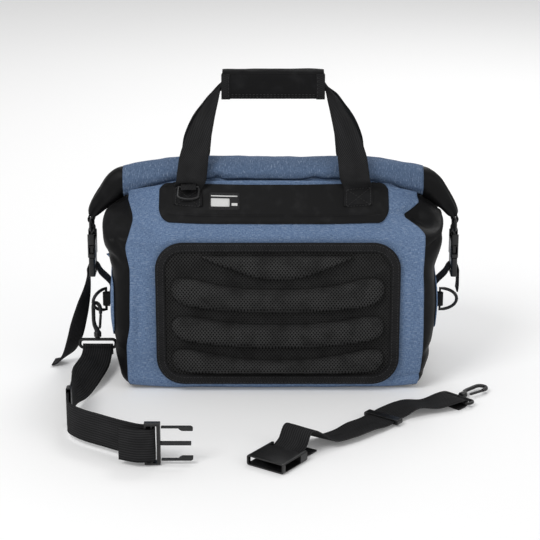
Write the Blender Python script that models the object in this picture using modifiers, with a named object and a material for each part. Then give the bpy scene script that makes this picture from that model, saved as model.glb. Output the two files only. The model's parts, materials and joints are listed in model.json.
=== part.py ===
"""Roll-top dry bag with two carry handles, side tension buckles and a two-part waist belt.

Metres, +Z up.  The origin is the centre of the base, the wearer's side faces -Y.
Every sub-part is one named object.  Pieces that move together hang on an empty on their joint.
"""
import math

import bmesh
import bpy
from mathutils import Matrix, Vector

# ---------------------------------------------------------------- driving dimensions
BASE_HALF_WIDTH = 0.197        # X, at the floor
SIDE_BULGE = 0.014             # the sides stand out this much half-way up
LOBE_BULGE = 0.021             # and this much at the shoulder
HALF_DEPTH = 0.100             # Y, front and back faces
SHOULDER_HEIGHT = 0.205        # the faces are upright up to here
MOUTH_HEIGHT = 0.2640          # upper edge of the faces, under the roll
END_DROOP = 0.030              # the mouth is this much lower at its ends
MOUTH_BACK_Y = 0.060           # the wearer's face ends this far from the centre plane
MOUTH_FRONT_Y = 0.045
CORNER_RADIUS = 0.026
WALL = 0.0025                  # coated fabric with its lining
GAP = 0.0004                   # between neighbouring solids
SEAM = 0.0012                  # between neighbouring panels of the shell
SKIN_GAP = 0.0016              # under what lies on a curved side
FACE_HALF_WIDTH = 0.187        # blue faces, gussets begin here

ROLL_HALF_WIDTH = 0.195
ROLL_HALF_HEIGHT = 0.0095
ROLL_HALF_THICK = 0.024
ROLL_TOP = 0.2865
ROLL_END_X = 0.2360
ROLL_END_Z = 0.2130

STRAP_WIDTH = 0.025            # side straps
BELT_WIDTH = 0.040
HANDLE_WIDTH = 0.038
WEBBING = 0.0018               # webbing thickness
WIRE = 0.0022                  # radius of the moulded rings

GRIP_LENGTH = 0.130
GRIP_Z = 0.3845
GRIP_HALF_HEIGHT = 0.0175
GRIP_HALF_DEPTH = 0.0135

BUCKLE_X = 0.2385              # side buckles, from the centre plane
BUCKLE_THICK = 0.0100
BUCKLE_TOP = 0.1930
BUCKLE_SPLIT = 0.1540          # mouth of the side buckles' sockets
RING_Z = 0.0925                # side rings
SWIVEL_Z = 0.0310

PAD_CENTRE = (0.006, SHOULDER_HEIGHT / 2 + 0.004)
PAD_SIZE = (0.310, SHOULDER_HEIGHT - 0.016)
PAD_RADIUS = 0.035 * PAD_SIZE[1] / 0.189

# ---------------------------------------------------------------- scene and helpers
for old in list(bpy.data.objects):
    bpy.data.objects.remove(old, do_unlink=True)

PARTS = bpy.data.collections.new("dry_bag")
CUTTERS = bpy.data.collections.new("dry_bag_cutters")
bpy.context.scene.collection.children.link(PARTS)
bpy.context.scene.collection.children.link(CUTTERS)

MATERIALS = {}


def material(name, colour, roughness, metallic=0.0):
    made = bpy.data.materials.new(name)
    made.use_nodes = True
    shader = made.node_tree.nodes["Principled BSDF"]
    shader.inputs["Base Color"].default_value = (*colour, 1.0)
    shader.inputs["Roughness"].default_value = roughness
    shader.inputs["Metallic"].default_value = metallic
    MATERIALS[name] = made


material("blue_fabric", (0.085, 0.165, 0.305), 0.75)
material("black_tarpaulin", (0.012, 0.012, 0.013), 0.42)
material("black_patch", (0.014, 0.014, 0.015), 0.60)
material("black_mesh", (0.010, 0.010, 0.011), 0.85)
material("black_webbing", (0.020, 0.020, 0.021), 0.80)
material("black_plastic", (0.018, 0.018, 0.019), 0.40)
material("label", (0.80, 0.80, 0.80), 0.70)


def add_object(name, mesh, finish, collection=None):
    mesh.name = name
    mesh.materials.append(MATERIALS[finish])
    made = bpy.data.objects.new(name, mesh)
    (collection or PARTS).objects.link(made)
    return made


def finish_mesh(name, shape, finish, smooth=False, collection=None):
    """Turn a bmesh into a named object with outward faces."""
    bmesh.ops.recalc_face_normals(shape, faces=shape.faces)
    mesh = bpy.data.meshes.new(name)
    shape.to_mesh(mesh)
    shape.free()
    if smooth:
        mesh.shade_smooth()
        mesh.set_sharp_from_angle(angle=math.radians(40))
    return add_object(name, mesh, finish, collection)


def add_box(name, low, high, finish, bevel=0.0, collection=None):
    """A box between two corners, its origin at its centre."""
    size = [b - a for a, b in zip(low, high)]
    shape = bmesh.new()
    bmesh.ops.create_cube(shape, size=1.0)
    bmesh.ops.scale(shape, vec=size, verts=shape.verts)
    made = finish_mesh(name, shape, finish, collection=collection)
    made.location = [(a + b) / 2 for a, b in zip(low, high)]
    if bevel:
        rounding = made.modifiers.new("rounding", "BEVEL")
        rounding.width = bevel
        rounding.segments = 2
        rounding.limit_method = "ANGLE"
    return made


def cut(target, cutter):
    """Take the cutter's volume out of the target."""
    cutter.hide_render = True
    cutter.display_type = "WIRE"
    modifier = target.modifiers.new("cut", "BOOLEAN")
    modifier.object = cutter
    modifier.operation = "DIFFERENCE"
    modifier.solver = "EXACT"


def join(target, addition):
    """Make the addition part of the target's one body."""
    addition.hide_render = True
    addition.display_type = "WIRE"
    modifier = target.modifiers.new("joined", "BOOLEAN")
    modifier.object = addition
    modifier.operation = "UNION"
    modifier.solver = "EXACT"


def add_sheet(name, place, columns, rows, finish, thickness, offset=0.0, smooth=True):
    """An open grid, each corner placed by place(s, t) with s and t in 0..1, given a wall."""
    shape = bmesh.new()
    bmesh.ops.create_grid(shape, x_segments=columns, y_segments=rows, size=0.5)
    for corner in shape.verts:
        corner.co = place(corner.co.x + 0.5, corner.co.y + 0.5)
    mesh = bpy.data.meshes.new(name)
    shape.to_mesh(mesh)
    shape.free()
    made = add_object(name, mesh, finish)
    wall = made.modifiers.new("wall", "SOLIDIFY")
    wall.thickness = thickness
    wall.offset = offset
    wall.use_even_offset = True
    if smooth:
        mesh.shade_smooth()
        mesh.set_sharp_from_angle(angle=math.radians(40))
    return made


def blend(table, at):
    """Read a smooth value from (position, value) pairs."""
    for (p0, v0), (p1, v1) in zip(table, table[1:]):
        if at <= p1:
            share = min(max((at - p0) / (p1 - p0), 0.0), 1.0)
            share = share * share * (3 - 2 * share)
            return v0 + (v1 - v0) * share
    return table[-1][1]


def spline(points, count):
    """Even samples of a Catmull-Rom curve through the points (tuples of any length)."""
    wide = [points[0]] + list(points) + [points[-1]]
    samples = []
    for i in range(count):
        place = i * (len(points) - 1) / (count - 1)
        k = min(int(place), len(points) - 2)
        f = place - k
        a, b, c, d = wide[k:k + 4]
        samples.append([
            0.5 * (2 * q + (r - p) * f + (2 * p - 5 * q + 4 * r - s) * f * f
                   + (3 * q - p - 3 * r + s) * f ** 3)
            for p, q, r, s in zip(a, b, c, d)])
    return samples


def add_ribbon(name, stations, count, finish, thickness=WEBBING, width=None):
    """Webbing through stations of (x, y, z, side x, side y, side z, width)."""
    samples = spline(stations, count)

    def place(s, t):
        value = samples[round(t * (count - 1))]
        side = Vector(value[3:6]).normalized()
        return Vector(value[:3]) + side * (s - 0.5) * (width or value[6])

    return add_sheet(name, place, 1, count - 1, finish, thickness, smooth=False)


def rail(name, points, radius, finish, closed=True, sides=2):
    """A round wire through the points."""
    data = bpy.data.curves.new(name, "CURVE")
    data.dimensions = "3D"
    data.bevel_depth = radius
    data.bevel_resolution = sides
    data.use_fill_caps = not closed
    line = data.splines.new("POLY")
    line.points.add(len(points) - 1)
    for point, place in zip(line.points, points):
        point.co = (*place, 1.0)
    line.use_cyclic_u = closed
    data.materials.append(MATERIALS[finish])
    made = bpy.data.objects.new(name, data)
    PARTS.objects.link(made)
    return made


def empty_at(name, place):
    made = bpy.data.objects.new(name, None)
    made.empty_display_size = 0.02
    made.location = place
    PARTS.objects.link(made)
    return made


def hang(pivot, *pieces):
    """Parent pieces to an unturned pivot without moving them."""
    for piece in pieces:
        piece.parent = pivot
        piece.location = Vector(piece.location) - Vector(pivot.location)


def loft(name, rings, finish, inner=None):
    """Skin rings of equal count.  With inner rings the piece is an open-ended tube."""
    shape = bmesh.new()

    def skin(rows):
        loops = [[shape.verts.new(point) for point in row] for row in rows]
        for first, second in zip(loops, loops[1:]):
            for i in range(len(first)):
                j = (i + 1) % len(first)
                shape.faces.new((first[i], first[j], second[j], second[i]))
        return loops

    outside = skin(rings)
    if inner:
        inside = skin(inner)
        for end in (0, -1):
            for i in range(len(outside[end])):
                j = (i + 1) % len(outside[end])
                shape.faces.new((outside[end][i], outside[end][j], inside[end][j], inside[end][i]))
    else:
        shape.faces.new(outside[0])
        shape.faces.new(outside[-1])
    return finish_mesh(name, shape, finish, smooth=True)


def add_bar(name, low, high, axis, radius, finish, segments=3, collection=None):
    """A box whose four edges along one axis are rounded."""
    centre = [(a + b) / 2 for a, b in zip(low, high)]
    shape = bmesh.new()
    bmesh.ops.create_cube(shape, size=1.0)
    bmesh.ops.scale(shape, vec=[b - a for a, b in zip(low, high)], verts=shape.verts)
    long_edges = [
        edge for edge in shape.edges
        if abs((edge.verts[0].co - edge.verts[1].co).normalized()[axis]) > 0.9]
    bmesh.ops.bevel(shape, geom=long_edges, offset=radius, offset_type="OFFSET",
                    segments=segments, profile=0.5, affect="EDGES", material=-1)
    made = finish_mesh(name, shape, finish, smooth=True, collection=collection)
    made.location = centre
    return made


UPRIGHT = Matrix(((0, 0, 1, 0), (1, 0, 0, 0), (0, 1, 0, 0), (0, 0, 0, 1)))   # outline x, y to Y, Z


def outline_plate(name, outline, thickness, finish, collection=None):
    """A filled flat outline with its middle layer in its own XY plane."""
    data = bpy.data.curves.new(name, "CURVE")
    data.dimensions = "2D"
    data.fill_mode = "BOTH"
    data.extrude = thickness / 2
    line = data.splines.new("POLY")
    line.points.add(len(outline) - 1)
    for point, (x, y) in zip(line.points, outline):
        point.co = (x, y, 0.0, 1.0)
    line.use_cyclic_u = True
    data.materials.append(MATERIALS[finish])
    made = bpy.data.objects.new(name, data)
    (collection or PARTS).objects.link(made)
    return made


def arc(centre, radius, start, end, count):
    """Points of an arc in a plane, angles in degrees."""
    angles = [math.radians(start + (end - start) * i / (count - 1)) for i in range(count)]
    return [(centre[0] + radius * math.cos(a), centre[1] + radius * math.sin(a)) for a in angles]


# ---------------------------------------------------------------- shape of the bag
SIDE_TABLE = [
    (0.0, BASE_HALF_WIDTH), (0.060, BASE_HALF_WIDTH + 0.7 * SIDE_BULGE),
    (0.110, BASE_HALF_WIDTH + SIDE_BULGE), (0.154, BASE_HALF_WIDTH + 0.8 * SIDE_BULGE),
    (SHOULDER_HEIGHT - 0.004, BASE_HALF_WIDTH + LOBE_BULGE),
    (MOUTH_HEIGHT - 0.8 * END_DROOP, FACE_HALF_WIDTH + 0.0025)]


def mouth_z(x):
    return MOUTH_HEIGHT - END_DROOP * min(abs(x) / ROLL_HALF_WIDTH, 1.0) ** 3


def face_y(x, z, side):
    """Half depth of the outside of a face; side is -1 for the wearer's face."""
    if z <= SHOULDER_HEIGHT:
        return HALF_DEPTH
    centre = MOUTH_BACK_Y if side < 0 else MOUTH_FRONT_Y
    mouth = centre * (1.0 - 0.75 * min(abs(x) / ROLL_HALF_WIDTH, 1.0) ** 3)
    share = (z - SHOULDER_HEIGHT) / (mouth_z(x) - SHOULDER_HEIGHT)
    return HALF_DEPTH + (mouth - HALF_DEPTH) * share


def on_face(x, z, side, lift):
    """A point above the outside of a face by lift."""
    step = 0.0005
    slope = (face_y(x, z + step, side) - face_y(x, z - step, side)) / (2 * step)
    normal = Vector((0.0, side, -slope)).normalized()
    return Vector((x, side * face_y(x, z, side), z)) + normal * lift


def side_x(z, lift=0.0):
    return blend(SIDE_TABLE, z) + lift


def gusset_point(s, z, side, lift):
    """A point on the outside of a gusset, s from 0 at the wearer's face to 1 at the front."""
    width = side_x(z, lift) - FACE_HALF_WIDTH
    back = face_y(FACE_HALF_WIDTH, z, -1) + lift
    front = face_y(FACE_HALF_WIDTH, z, 1) + lift
    corner = min(CORNER_RADIUS, 0.9 * min(back, front))
    turn = 0.3
    if s <= turn:
        angle = s / turn * math.pi / 2
        place = (width * math.sin(angle), -(back - corner) - corner * math.cos(angle))
    elif s >= 1.0 - turn:
        angle = (1.0 - s) / turn * math.pi / 2
        place = (width * math.sin(angle), (front - corner) + corner * math.cos(angle))
    else:
        share = (s - turn) / (1.0 - 2 * turn)
        place = (width, -(back - corner) + share * (back + front - 2 * corner))
    return Vector((side * (FACE_HALF_WIDTH + SEAM + place[0]), place[1], z))


def row_height(t, top):
    """Even rows up to the shoulder, and the rest above it."""
    foot = 0.0005
    if t <= 0.6:
        return foot + (SHOULDER_HEIGHT - foot) * t / 0.6
    return SHOULDER_HEIGHT + (top - SHOULDER_HEIGHT) * (t - 0.6) / 0.4


def face_panel(name, side):
    def place(s, t):
        x = (2 * s - 1) * FACE_HALF_WIDTH
        return on_face(x, row_height(t, mouth_z(x)), side, -WALL / 2)
    return add_sheet(name, place, 16, 10, "blue_fabric", WALL)


def gusset(name, side):
    def place(s, t):
        return gusset_point(s, row_height(t, mouth_z(FACE_HALF_WIDTH)), side, -WALL / 2)
    return add_sheet(name, place, 10, 15, "black_tarpaulin", WALL)


def rounded_half(v, half_width, half_height, radius):
    """Half width of a rounded rectangle at height v from its centre."""
    over = abs(v) - (half_height - radius)
    if over <= 0:
        return half_width
    return half_width - radius + math.sqrt(max(radius * radius - over * over, 0.0))


def face_patch(name, side, x0, x1, z0, z1, radius, lift, thickness, finish, columns=14, rows=8):
    """A rounded rectangle lying on a face, its middle layer at lift."""
    def place(s, t):
        half = (z1 - z0) / 2
        v = half * math.sin(math.pi / 2 * (2 * t - 1))
        width = rounded_half(v, (x1 - x0) / 2, half, radius)
        return on_face((x0 + x1) / 2 + (2 * s - 1) * width, (z0 + z1) / 2 + v, side, lift)
    return add_sheet(name, place, columns, rows, finish, thickness)


# ---------------------------------------------------------------- shell
BASE_THICKNESS = 0.0030
BOARD = 0.0030                 # mesh-faced base of the back pad
PATCH = 0.0014
PATCH_GAP = 0.0014             # the slope is faceted, so what lies on it keeps more room
PATCH_X = (-0.145, 0.147)
PATCH_Z = (0.2215, 0.2610)

face_panel("back_panel", -1)
face_panel("front_panel", 1)
gusset("left_gusset", -1)
gusset("right_gusset", 1)

inset = -(WALL + 3 * GAP)
right_half = [gusset_point(k / 12, 0.0003, 1, inset) for k in range(13)]
base_outline = [(p.x - GAP, p.y) for p in right_half] + [(GAP - p.x, p.y) for p in reversed(right_half)]
base_panel = outline_plate("base_panel", base_outline, BASE_THICKNESS, "black_tarpaulin")
base_panel.location.z = BASE_THICKNESS / 2

for side, name in ((-1, "back_patch"), (1, "front_patch")):
    face_patch(name, side, *PATCH_X, *PATCH_Z, 0.014, PATCH_GAP + PATCH / 2, PATCH, "black_patch")
face_patch("name_label", -1, -0.0810, -0.0420, 0.2355, 0.2545, 0.001,
           PATCH_GAP + PATCH + 0.0009, 0.0006, "label", 2, 4)

for side, name in ((-1, "left_side_patch"), (1, "right_side_patch")):
    def blue_lens(s, t, side=side):
        z = 0.072 + 0.086 * t
        reach = 0.10 * math.sin(math.pi * (0.08 + 0.84 * t))
        spot = gusset_point(0.5 + (2 * s - 1) * (0.09 + reach), z, side, SKIN_GAP)
        return spot
    add_sheet(name, blue_lens, 6, 6, "blue_fabric", 0.0006)

# ---------------------------------------------------------------- back pad
pad_x0 = PAD_CENTRE[0] - PAD_SIZE[0] / 2
pad_x1 = PAD_CENTRE[0] + PAD_SIZE[0] / 2
pad_z0 = PAD_CENTRE[1] - PAD_SIZE[1] / 2
pad_z1 = PAD_CENTRE[1] + PAD_SIZE[1] / 2
lumbar_pad = face_patch("lumbar_pad", -1, pad_x0, pad_x1, pad_z0, pad_z1, PAD_RADIUS,
                        GAP + BOARD / 2, BOARD, "black_mesh", 12, 10)

RIB_HEIGHT = 0.0095
RIB_PAD_HEIGHT = 0.189         # the ribs are laid out on a pad this tall
RIB_ROOT = 0.0010
RIB_FACE = HALF_DEPTH + GAP + BOARD - RIB_ROOT


def foam_rib(low, high, half_width, sag_low, sag_high, taper):
    """Rings of one cushion rib: half an oval section swept along X."""
    scale = PAD_SIZE[1] / RIB_PAD_HEIGHT
    rings = []
    for k in range(13):
        s = 2 * k / 12 - 1
        x = PAD_CENTRE[0] + s * half_width
        dip = 1 - s * s
        bottom = pad_z0 + (low - sag_low * dip - pad_z0) * scale
        top = pad_z0 + (high - sag_high * dip - pad_z0) * scale
        thin = math.sqrt(max(1 - abs(s) ** taper, 0.0))
        centre = (bottom + top) / 2 if taper > 3 else top
        bottom = centre + (bottom - centre) * max(thin, 0.15)
        top = centre + (top - centre) * max(thin, 0.15)
        depth = RIB_ROOT + RIB_HEIGHT * max(thin, 0.2)
        ring = [(x, -RIB_FACE - depth * math.sin(a), (bottom + top) / 2 - (top - bottom) / 2 * math.cos(a))
                for a in [math.pi * i / 7 for i in range(8)]]
        rings.append(ring)
    return rings


def loft_group(name, ring_sets, finish):
    """Several closed lofts in one mesh, to be joined to another piece."""
    shape = bmesh.new()
    for rings in ring_sets:
        loops = [[shape.verts.new(point) for point in row] for row in rings]
        for first, second in zip(loops, loops[1:]):
            for i in range(len(first)):
                j = (i + 1) % len(first)
                shape.faces.new((first[i], first[j], second[j], second[i]))
        shape.faces.new(loops[0])
        shape.faces.new(loops[-1])
    return finish_mesh(name, shape, finish, smooth=True, collection=CUTTERS)


RIBS = [                       # low edge, high edge, half width, dip of each edge, end shape
    (0.1800, 0.1870, 0.100, 0.0280, 0.0005, 2.0),
    (0.1180, 0.1620, 0.137, 0.0110, 0.0180, 10.0),
    (0.0710, 0.1100, 0.137, 0.0120, 0.0130, 10.0),
    (0.0265, 0.0660, 0.137, 0.0015, 0.0180, 10.0)]
join(lumbar_pad, loft_group("foam_rib_shapes", [foam_rib(*rib) for rib in RIBS], "black_mesh"))

BINDING = 0.011
BINDING_THICK = 0.0030


def binding_ring(radius_grow, lift):
    """One closed loop around the pad, radius_grow outside its edge."""
    points = []
    half_x = PAD_SIZE[0] / 2 - PAD_RADIUS
    half_z = PAD_SIZE[1] / 2 - PAD_RADIUS
    for corner_x, corner_z, start in ((1, 1, 0), (-1, 1, 90), (-1, -1, 180), (1, -1, 270)):
        centre = (PAD_CENTRE[0] + corner_x * half_x, PAD_CENTRE[1] + corner_z * half_z)
        for x, z in arc(centre, PAD_RADIUS + radius_grow, start, start + 90, 5):
            points.append((x, -HALF_DEPTH - lift, z))
    return points


binding_low = 2 * GAP + BOARD
loft("pad_binding",
     [binding_ring(0.0, lift) for lift in (binding_low, binding_low + BINDING_THICK)],
     "black_webbing",
     inner=[binding_ring(-BINDING, lift) for lift in (binding_low, binding_low + BINDING_THICK)])

# ---------------------------------------------------------------- roll closure
ROLL_CLEAR = 0.0030
ROLL_WALL = 0.0022
ROLL_LEAN = 0.030              # the roll lies this far towards the wearer at its middle


def roll_section(x, shrink=0.0, count=16):
    """Oval section of the roll at x."""
    share = min(abs(x) / ROLL_HALF_WIDTH, 1.0)
    half = ROLL_HALF_HEIGHT + 0.0085 * share ** 2
    thick = ROLL_HALF_THICK - 0.008 * share ** 2
    centre = (-ROLL_LEAN * (1 - share ** 2), mouth_z(x) + ROLL_CLEAR + half)
    return [(x, centre[0] + (thick - shrink) * math.cos(a), centre[1] + (half - shrink) * math.sin(a))
            for a in [2 * math.pi * i / count for i in range(count)]]


roll_x = [ROLL_HALF_WIDTH * (2 * k / 14 - 1) for k in range(15)]
roll_sleeve = loft("roll_sleeve", [roll_section(x) for x in roll_x], "blue_fabric",
                   inner=[roll_section(x, ROLL_WALL) for x in roll_x])


def stiffener_place(s, t):
    x = (2 * s - 1) * (ROLL_HALF_WIDTH - 0.012)
    share = abs(x) / ROLL_HALF_WIDTH
    half = ROLL_HALF_HEIGHT + 0.0085 * share ** 2
    return Vector((x, -ROLL_LEAN * (1 - share ** 2) + (t - 0.5) * 0.020, mouth_z(x) + ROLL_CLEAR + half))


mouth_stiffener = add_sheet("mouth_stiffener", stiffener_place, 14, 1, "black_plastic", 0.0015)

TIP_HALF_DEPTH = 0.0125
roll_ends = {}
for side, name in ((-1, "left_roll_end"), (1, "right_roll_end")):
    # x, z, half height across the path, half depth, lean of the section from upright (degrees)
    stations = [
        (ROLL_HALF_WIDTH + GAP, 0.2552, 0.0180, 0.0160, 0),
        (0.2080, 0.2450, 0.0165, 0.0150, 35),
        (0.2210, 0.2320, 0.0140, 0.0140, 48),
        (0.2310, 0.2195, 0.0110, 0.0130, 55),
        (ROLL_END_X, ROLL_END_Z, 0.0060, TIP_HALF_DEPTH, 70)]
    rings = []
    for x, z, half, depth, lean in stations:
        lean = math.radians(lean)
        rings.append([
            (side * (x + half * math.sin(a) * math.sin(lean)), depth * math.cos(a),
             z + half * math.sin(a) * math.cos(lean))
            for a in [2 * math.pi * i / 12 for i in range(12)]])
    roll_ends[side] = loft(name, rings, "black_tarpaulin")

# ---------------------------------------------------------------- side buckles, rings and straps
SLOT = 0.0048
SLOT_MIDDLE = 0.0120            # of the slot next to the plug's mouth, from its foot
PRONG_ROOT = 0.0006
RING_TOP = 0.2040
RING_LOW = 0.1905
SOCKET_BAR = 0.1842
BUCKLE_HALF_WIDTH = 0.016
PLUG_FOOT = 0.1285


def buckle_socket(name, place, turn, half_width, thick, length, webbing_slot):
    """A side-release socket along +Z from its mouth at the origin, its bar at the far end."""
    body = add_bar(name, (-thick / 2, -half_width, 0.0), (thick / 2, half_width, length), 2, 0.0025,
                   "black_plastic")
    inner = thick / 2 - 0.0018
    wall = 0.0025
    cuts = [
        ((-inner, -half_width + wall, -0.005), (inner, half_width - wall, length - 0.0120)),
        ((-inner, -half_width - 0.005, 0.0050), (inner, half_width + 0.005, length - 0.0140)),
        ((-thick, -webbing_slot, length - 0.0085), (thick, webbing_slot, length - 0.0030)),
        ((0.0016, -webbing_slot, length - 0.0095), (thick, webbing_slot, length + 0.0050)),
        ((-thick, -webbing_slot, length - 0.0095), (-0.0016, webbing_slot, length + 0.0050))]
    frame = Matrix.Translation(place) @ turn.to_4x4()
    for number, (low, high) in enumerate(cuts):
        tool = add_box(name + "_cutter_%d" % number, low, high, "black_plastic", collection=CUTTERS)
        tool.matrix_world = frame @ Matrix.Translation(tool.location)
        cut(body, tool)
    body.matrix_world = frame @ Matrix.Translation(body.location)
    return body


def buckle_plug(name, prong_names, place, turn, half_width, thick, foot, reach, prong_y):
    """A plug whose prongs point along +Z from its mouth edge at the origin."""
    frame = Matrix.Translation(place) @ turn.to_4x4()
    body = add_bar(name, (-thick / 2, -half_width, -foot), (thick / 2, half_width, -GAP), 2, 0.0020,
                   "black_plastic")
    window = half_width - 0.0030
    cuts = [
        ((-thick, -window, -foot + 0.0028), (thick, window, -foot + 0.0028 + SLOT)),
        ((-thick, -window, -foot + SLOT_MIDDLE - SLOT / 2), (thick, window, -foot + SLOT_MIDDLE + SLOT / 2))]
    tongue = add_box(name + "_tongue", (-0.0018, -0.0022, -0.0030), (0.0018, 0.0022, reach - 0.0015),
                     "black_plastic", collection=CUTTERS)
    tongue.matrix_world = frame @ Matrix.Translation(tongue.location)
    join(body, tongue)
    for number, (low, high) in enumerate(cuts):
        tool = add_box(name + "_cutter_%d" % number, low, high, "black_plastic", collection=CUTTERS)
        tool.matrix_world = frame @ Matrix.Translation(tool.location)
        cut(body, tool)
    body.matrix_world = frame @ Matrix.Translation(body.location)
    prongs = []
    for sign, prong_name in zip((-1, 1), prong_names):
        root = Vector((0.0, sign * (prong_y - 0.0012), PRONG_ROOT))
        neck = reach * 0.58
        outline = [(-0.0012, 0.0), (0.0012, 0.0), (0.0012, neck), (0.0012, reach * 0.93),
                   (-0.0004, reach), (-0.0044, reach), (-0.0044, neck + 0.0030),
                   (-0.0030, neck), (-0.0012, neck - 0.0015)]
        arm = outline_plate(prong_name, [(sign * y, z) for y, z in outline], 0.0044, "black_plastic")
        arm.matrix_world = frame @ Matrix.Translation(root) @ UPRIGHT
        prongs.append(arm)
    return body, prongs


def band_loop(centre, half_height, radius, count=7):
    """Stadium path in a plane, upright, its two ends a hair apart on one side."""
    x, z = centre
    path = [(x + radius, z - GAP)]
    path += [(x + radius * math.cos(a), z - half_height + radius * math.sin(a))
             for a in [-math.pi * i / (count - 1) for i in range(count)]]
    path += [(x - radius * math.cos(a), z + half_height + radius * math.sin(a))
             for a in [math.pi * i / (count - 1) for i in range(count)]]
    path.append((x + radius, z + GAP))
    return path


def add_band(name, path, half_width, thickness, finish):
    """Webbing whose width runs along Y, following a path in XZ."""
    def place(s, t):
        x, z = path[round(t * (len(path) - 1))]
        return Vector((x, (2 * s - 1) * half_width, z))
    return add_sheet(name, place, 1, len(path) - 1, finish, thickness, smooth=False)


def round_rectangle(half_y, z0, z1, radius, count=4):
    """Points (y, z) of a rounded rectangle."""
    points = []
    corners = ((1, z1 - radius, 0), (-1, z1 - radius, 90), (-1, z0 + radius, 180), (1, z0 + radius, 270))
    for sign, z, start in corners:
        points += arc((sign * (half_y - radius), z), radius, start, start + 90, count)
    return points


SIDE_RING_X = 0.2225
SIDE_RING_HALF = 0.0148
SIDE_RING_REACH = 0.0225
TAB_GAP = WIRE + 0.0007 + WEBBING / 2
side_rings = {}
plugs = {}
sockets = {}
for side, word in ((-1, "left"), (1, "right")):
    x = side * BUCKLE_X
    turn = Matrix.Identity(3)
    sockets[side] = buckle_socket(word + "_buckle_socket", (x, 0, BUCKLE_SPLIT), turn, BUCKLE_HALF_WIDTH,
                                  BUCKLE_THICK, SOCKET_BAR + 0.0015 - BUCKLE_SPLIT, 0.0128)
    prong_names = (word + "_near_prong", word + "_far_prong")
    plugs[side] = buckle_plug(word + "_buckle_plug", prong_names, (x, 0, BUCKLE_SPLIT - GAP), turn,
                              BUCKLE_HALF_WIDTH, BUCKLE_THICK - 0.0020, BUCKLE_SPLIT - PLUG_FOOT, 0.0170, 0.0127)
    ring = [(x, y, z) for y, z in round_rectangle(0.0150, RING_LOW, RING_TOP, 0.0050)]
    rail(word + "_roll_ring", ring, WIRE, "black_plastic")
    cup = [(x + TAB_GAP, RING_TOP + 0.0022)]
    cup += [(x + TAB_GAP * math.cos(a), RING_TOP + TAB_GAP * math.sin(a))
            for a in [-math.pi * i / 8 for i in range(9)]]
    cup.append((x - TAB_GAP, RING_TOP + 0.0022))
    add_band(word + "_roll_tab", cup, 0.0092, 0.0014, "black_webbing")
    loop_middle = (RING_LOW + SOCKET_BAR) / 2
    add_band(word + "_buckle_loop", band_loop((x, loop_middle), (RING_LOW - SOCKET_BAR) / 2, TAB_GAP - 0.0002),
             0.0092, 0.0010, "black_webbing")
    # the side ring: a D whose straight bar is upright
    ring_z = RING_Z
    swing = math.radians(-45) if side < 0 else 0.0
    outline = [(0.0, -SIDE_RING_HALF), (0.0, SIDE_RING_HALF)]
    outline += [(SIDE_RING_REACH * math.cos(a), SIDE_RING_HALF * math.sin(a))
                for a in [math.pi / 2 * (1 - i / 6) for i in range(1, 12)]]
    bar = (side * SIDE_RING_X, 0.0)
    ring = [(bar[0] + side * r * math.cos(swing), bar[1] + r * math.sin(swing), ring_z + h) for r, h in outline]
    side_rings[side] = rail(word + "_side_ring", ring, WIRE, "black_plastic")
    inner = side_x(ring_z) + 2.5 * SKIN_GAP + WEBBING + 2 * GAP + 0.0007
    wrap = [(inner, -TAB_GAP)]
    wrap += [(SIDE_RING_X + TAB_GAP * math.cos(a), TAB_GAP * math.sin(a))
             for a in [-math.pi / 2 + math.pi * i / 8 for i in range(9)]]
    wrap.append((inner, TAB_GAP))

    def tab_place(s, t, wrap=wrap, side=side, ring_z=ring_z):
        out, y = wrap[round(t * (len(wrap) - 1))]
        return Vector((side * out, y, ring_z + (s - 0.5) * 0.018))
    add_sheet(word + "_ring_tab", tab_place, 1, len(wrap) - 1, "black_webbing", 0.0014, smooth=False)
    # tension strap: up the gusset, through the plug's upper slot and back down outside
    lift = 2.5 * SKIN_GAP + WEBBING / 2
    bar_z = PLUG_FOOT + SLOT_MIDDLE
    strap = [(side_x(z, lift), z) for z in (0.050, 0.060, 0.075, 0.090, 0.105, 0.117)]
    strap += [(BUCKLE_X - 0.0105, bar_z - 0.010), (BUCKLE_X - 0.0066, bar_z - 0.003), (BUCKLE_X - 0.0035, bar_z),
              (BUCKLE_X + 0.0035, bar_z), (BUCKLE_X + 0.0062, bar_z - 0.003), (BUCKLE_X + 0.0066, PLUG_FOOT)]
    if side < 0:
        strap += [(0.2475, 0.110), (0.2535, 0.085), (0.2600, 0.060), (0.2660, 0.038), (0.2740, 0.018),
                  (0.2850, 0.0062), (0.2960, 0.0022)]
    else:
        strap += [(0.2450, 0.115), (0.2440, 0.106)]
    path = [(side * a, b) for a, b in strap]
    add_band(word + "_side_strap", path, STRAP_WIDTH / 2, WEBBING, "black_webbing")

# ---------------------------------------------------------------- handles and grip
FOOT_LIFT = PATCH_GAP + PATCH + 0.0022 + WEBBING / 2
HANDLE_X = 0.1075
FOOT_Z = (0.2400, 0.2500, 0.2600)
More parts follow.
